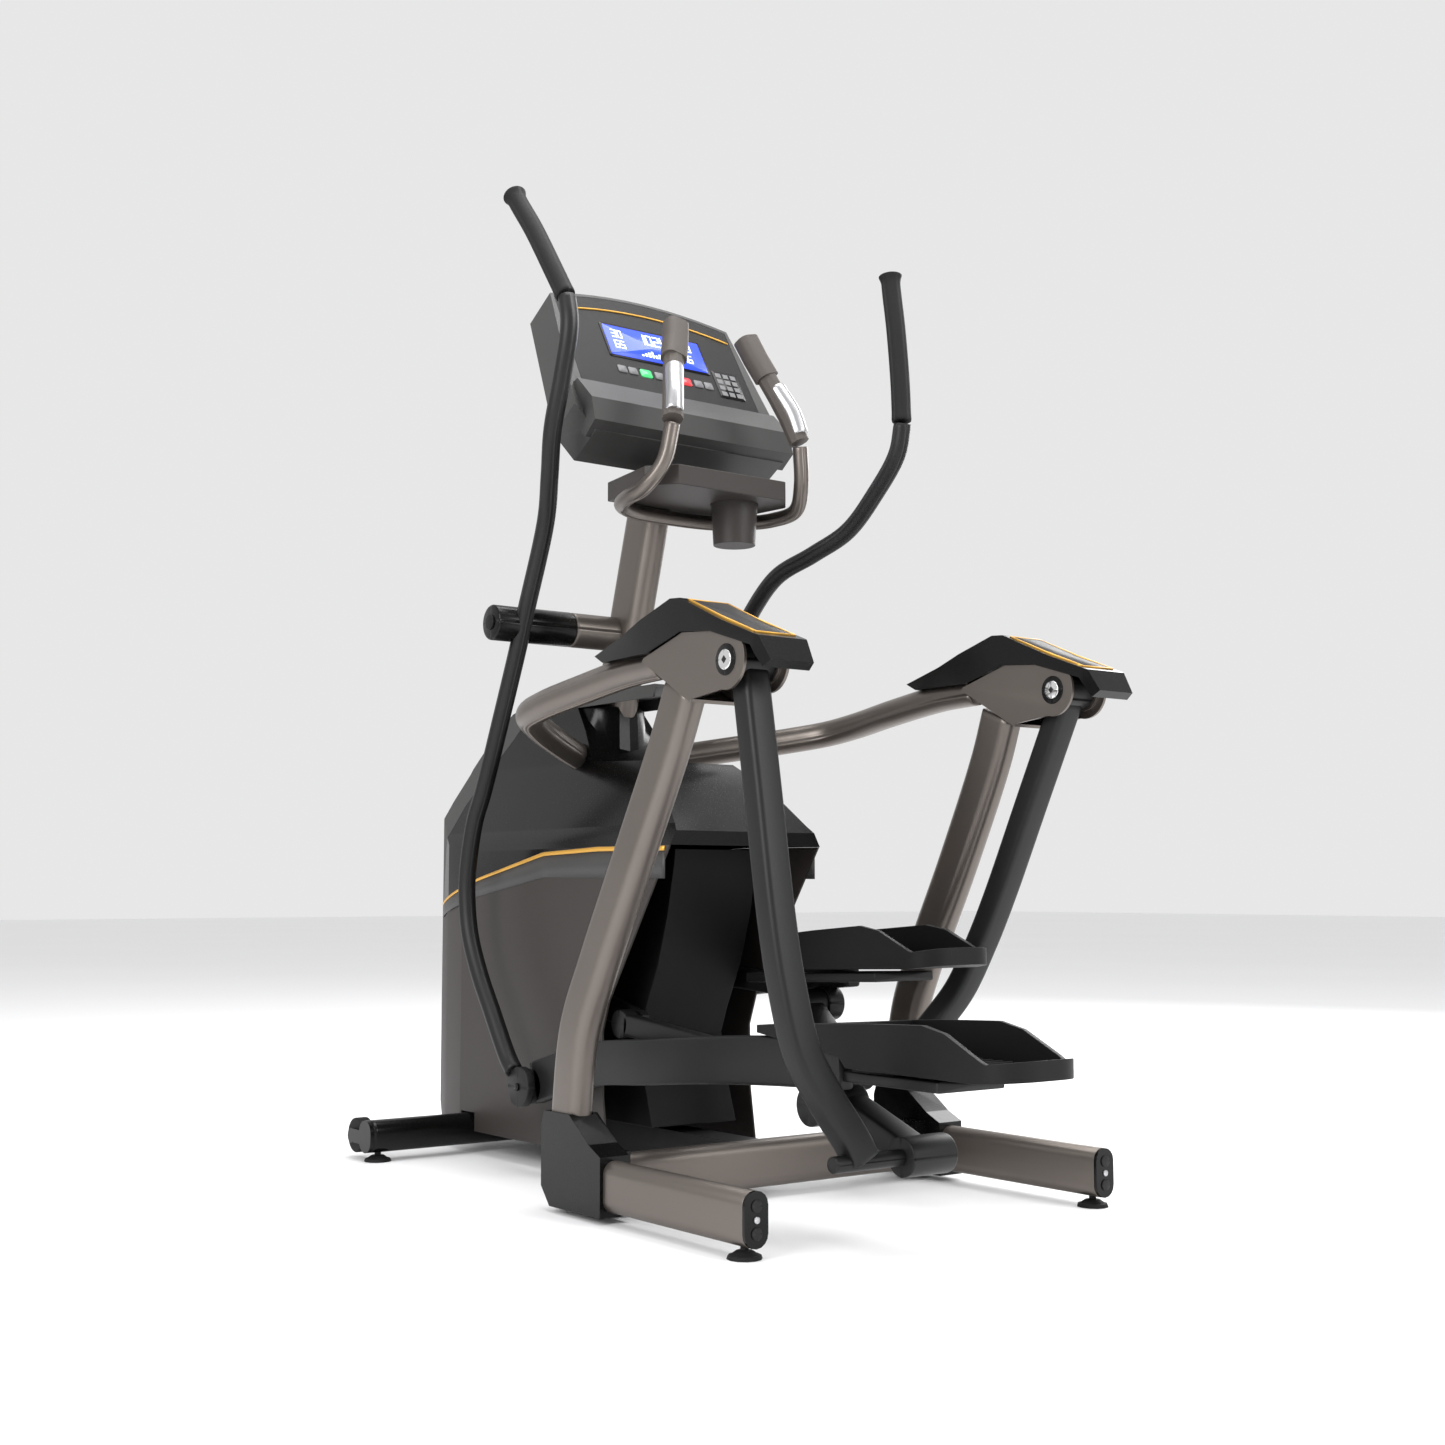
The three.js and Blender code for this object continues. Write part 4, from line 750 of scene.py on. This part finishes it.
both_sides(shell_strip("casing_gold_line", 5.5, 8, 1.6), "frame", [], gold, False)
both_sides(
    shell_strip("casing_grey_band", 34, 46, 0.9), "frame", [], shell_grey, False
)

# ---- Console ----
# A moulded grey housing bolted to the mast. Its black face panel holds a blue liquid crystal display,
# rubber keys with a green start and a red stop key, a number pad, and a gold line along the top.
carry("console_housing", 0.003, shell_grey)
carry("console_panel", 0.001, grained_black)
CONSOLE_LEAN, CONSOLE_FOOT = math.radians(30), (350, 1517)  # tilt, and (y, z) of the display edge


def on_console(x, up, out):
    """A point of the tilted face: x across, up the slope, and out towards the user."""
    c, s = math.cos(CONSOLE_LEAN), math.sin(CONSOLE_LEAN)
    return (x, CONSOLE_FOOT[0] - out * c + up * s, CONSOLE_FOOT[1] + out * s + up * c)


def round_box(x0, x1, v0, v1, radius=2.0, arc=4):
    """The outline of a rectangle with rounded corners."""
    return rounded_section(x1 - x0, v1 - v0, radius, arc) + ((x0 + x1) / 2, (v0 + v1) / 2)


def glow_paint(color, strength):
    """A glowing surface: a steady colour that drifts a little, also given off as light. The display is
    backlit; on the start and stop keys the glow is painted light.
    """

    def paint(place):
        drift = place.noise(9.0)
        shade = drift.mixed(rgba(*(0.85 * c for c in color)), rgba(*color))
        return {"Base_Color": shade, "Emission_Color": shade, "Roughness": drift * 0.05 + 0.2}

    return material(
        "lit_" + "_".join(str(round(c, 2)) for c in color), paint, Emission_Strength=strength
    )


lcd_blue = glow_paint((0.02, 0.06, 0.72), 0.75)
lcd_white = glow_paint((0.75, 0.82, 1.0), 0.9)
# The start and stop keys are rubber and hold no lamp: their emission is a painted glow on the key
# colour.
green_key_painted_glow = glow_paint((0.05, 0.55, 0.16), 0.25)
red_key_painted_glow = glow_paint((0.75, 0.04, 0.05), 0.25)
key_grey = material("key_grey", coat((0.11, 0.11, 0.115), (0.14, 0.14, 0.145), 500, 0.4, 900, 0.0001))
single(
    slab("display_bezel", round_box(-117, 117, -3, 85, 4), on_console, 0.2, 1.2, 0.4),
    [],
    gloss_black,
)
single(
    slab("display_screen", round_box(-112, 112, 2, 80, 3), on_console, -1, 2.0, 0.4),
    ["display_window"], lcd_blue,
)
SEGMENTS = {
    "0": "abcdef", "1": "bc", "2": "abged", "3": "abgcd", "4": "fgbc", "5": "afgcd", "6": "afgedc",
    "8": "abcdefg",
}
BARS = {
    "a": (0, 1, 1, 1), "b": (1, 1, 0.5, 1), "c": (1, 1, 0, 0.5), "d": (0, 1, 0, 0), "e": (0, 0, 0, 0.5),
    "f": (0, 0, 0.5, 1), "g": (0, 1, 0.5, 0.5),
}


def blocks(name, boxes, near, far):
    """Small raised boxes (x0, x1, v0, v1) on the console face, as one object."""
    points, faces = [], []
    for x0, x1, v0, v1 in boxes:
        k = len(points)
        points += [
            mm(*on_console(x, v, d))
            for d in (near, far)
            for x, v in ((x0, v0), (x1, v0), (x1, v1), (x0, v1))
        ]
        faces += [(k, k + 3, k + 2, k + 1), (k + 4, k + 5, k + 6, k + 7)]
        faces += [(k + i, k + (i + 1) % 4, k + 4 + (i + 1) % 4, k + 4 + i) for i in range(4)]
    made = new_object(name, np.array(points), faces, False)
    return made


digit_boxes = []
for text, x, v, tall in (
    ("30", -96, 50, 18), ("65", -96, 22, 18), ("1024", -34, 46, 24), ("128", 52, 50, 18),
    ("46", 60, 20, 18),
):
    for index, letter in enumerate(text):
        left, wide, pen = x + index * tall * 0.72, tall * 0.48, tall * 0.06
        for bar_name in SEGMENTS[letter]:
            a, b, low, high = BARS[bar_name]
            digit_boxes.append(
                (
                    left + a * wide - pen, left + b * wide + pen, v + low * tall - pen,
                    v + high * tall + pen,
                )
            )
digit_boxes += [(-40 + 8 * i, -35 + 8 * i, 12, 16 + 3 * (i % 4) + i) for i in range(9)]
single(blocks("display_digits", digit_boxes, 1.6, 2.6), [], lcd_white)
keys = [(-110, -90), (-86, -66), (-26, -6), (6, 26), (66, 86), (90, 110)]
for x0, x1 in keys:
    single(
        slab("soft_key", round_box(x0, x1, -43, -25, 3), on_console, -1, 1.6, 0.5),
        [],
        key_grey,
    )
for x, node_name, finish in ((-46, "start_key", green_key_painted_glow), (46, "stop_key", red_key_painted_glow)):
    single(
        slab(node_name + "_cap", round_box(x - 13, x + 13, -44, -24, 4), on_console, -4, 1.3, 0.6),
        [node_name], finish, node_name.replace("_key", "_button"),
    )
pad = [(x, x + 13, v, v + 11) for x in (128, 146, 164) for v in (-52, -36, -20, -4)]
single(
    slab("number_pad_base", round_box(122, 183, -58, 13, 4), on_console, -1, 0.9, 0.3),
    [],
    gloss_black,
)
single(blocks("number_pad_keys", pad, 0.5, 1.6), [], key_grey)
gold_arc = [on_console(x, 100 + 26 * (1 - (x / 200) ** 2), 0.8) for x in np.linspace(-196, 196, 50)]
single(
    tube("console_gold_line", gold_arc, rounded_section(3.2, 3.2, 1, 2), side=(0, 0.5, 0.87), edge=0.5),
    [],
    gold,
)

# ---- Tray and cup holder ----
# One moulded brown tray on the mast below the console, with a cup that drops into its ring.
carry("tray", 0.002, shell_brown)
carry("cup_holder", 0.001, shell_brown)

# ---- Pedals ----
# Dished treads moulded in grained black plastic and bolted to the foot link's carrier, each with a
# ribbed rubber mat in its well.
for side in ("left", "right"):
    carry(f"pedal_{side}", 0.003, grained_black, f"foot_link_{side}_body")
mat_outline = [(-62, -410), (-188, -410), (-192, -680)]
mat_turn = np.linspace(0.1, math.pi - 0.1, 14)
mat_outline += [(-127 - 62 * math.cos(a), -684 - 55 * math.sin(a)) for a in mat_turn]
mat_outline += [(-58, -680)]
mat = slab("pedal_mat", mat_outline, lambda x, y, z: (x, y, z), 268, 273, 1.0)
both_sides(mat, "foot_link", [], rubber, False)
for y in range(-720, -420, 20):
    half = 60 if y > -690 else 60 * math.sqrt(max(1 - ((y + 690) / 50) ** 2, 0.05))
    rib = tube(
        "mat_rib",
        [(-125 + x, y, 273.2) for x in (-half, -half + 2, half - 2, half)],
        rounded_section(4, 5, 1.5, 3),
        side=(0, 1, 0),
        edge=0.8,
    )
    both_sides(rib, "foot_link", [], rubber, False)

# ---- Fixed handlebar ----
# A bent round tube under the tray, with rubber pulse grips that carry brushed contact plates.
loop_path = smooth_path(
    [
        (-143.6, 106, 1330), (-155, 117, 1262), (-170, 152, 1222), (-166, 215, 1213.4),
        (-140, 272, 1213.4), (-90, 308, 1213.4), (0, 318, 1213.4), (90, 308, 1213.4),
        (140, 272, 1213.4), (166, 215, 1213.4), (170, 152, 1222), (155, 117, 1262), (143.6, 106, 1330),
    ],
    160,
)
single(
    tube("handlebar_tube", loop_path, rounded_section(28, 28, 14, 6), side=(0, 0.3, 1)),
    ["handlebar"],
    gunmetal,
)
contact_path = smooth_path([(-139, 108, 1352), (-131, 119, 1392), (-113, 145, 1444)], 24)
contact = tube("pulse_contact", contact_path + (-2.6, -3.2, 0), rounded_section(34, 34, 17, 8), edge=2)
both_sides(contact, "frame", [], steel, False)
for side in ("left", "right"):
    carry(f"pulse_grip_{side}", 0.002, taupe_rubber)

# ---- Finishes of the frame's own nodes ----
# Every node in the frame gets the finish of its slot, whether or not a piece stands for it.
FINISHES = {
    "gunmetal_paint": gunmetal, "black_paint": satin_black, "chrome": chrome, "flywheel_steel": steel,
    "black_plastic": grained_black, "brown_plastic": shell_brown, "black_rubber": rubber,
    "taupe_rubber": taupe_rubber, "display_glass": gloss_black,
}
node_slots = {part["node"]: part["material_slot"] for part in frame["record"]["subparts"]}
for node_name, node_object in frame["nodes"].items():
    node_object.data.materials.clear()
    node_object.data.materials.append(FINISHES[node_slots[node_name]])
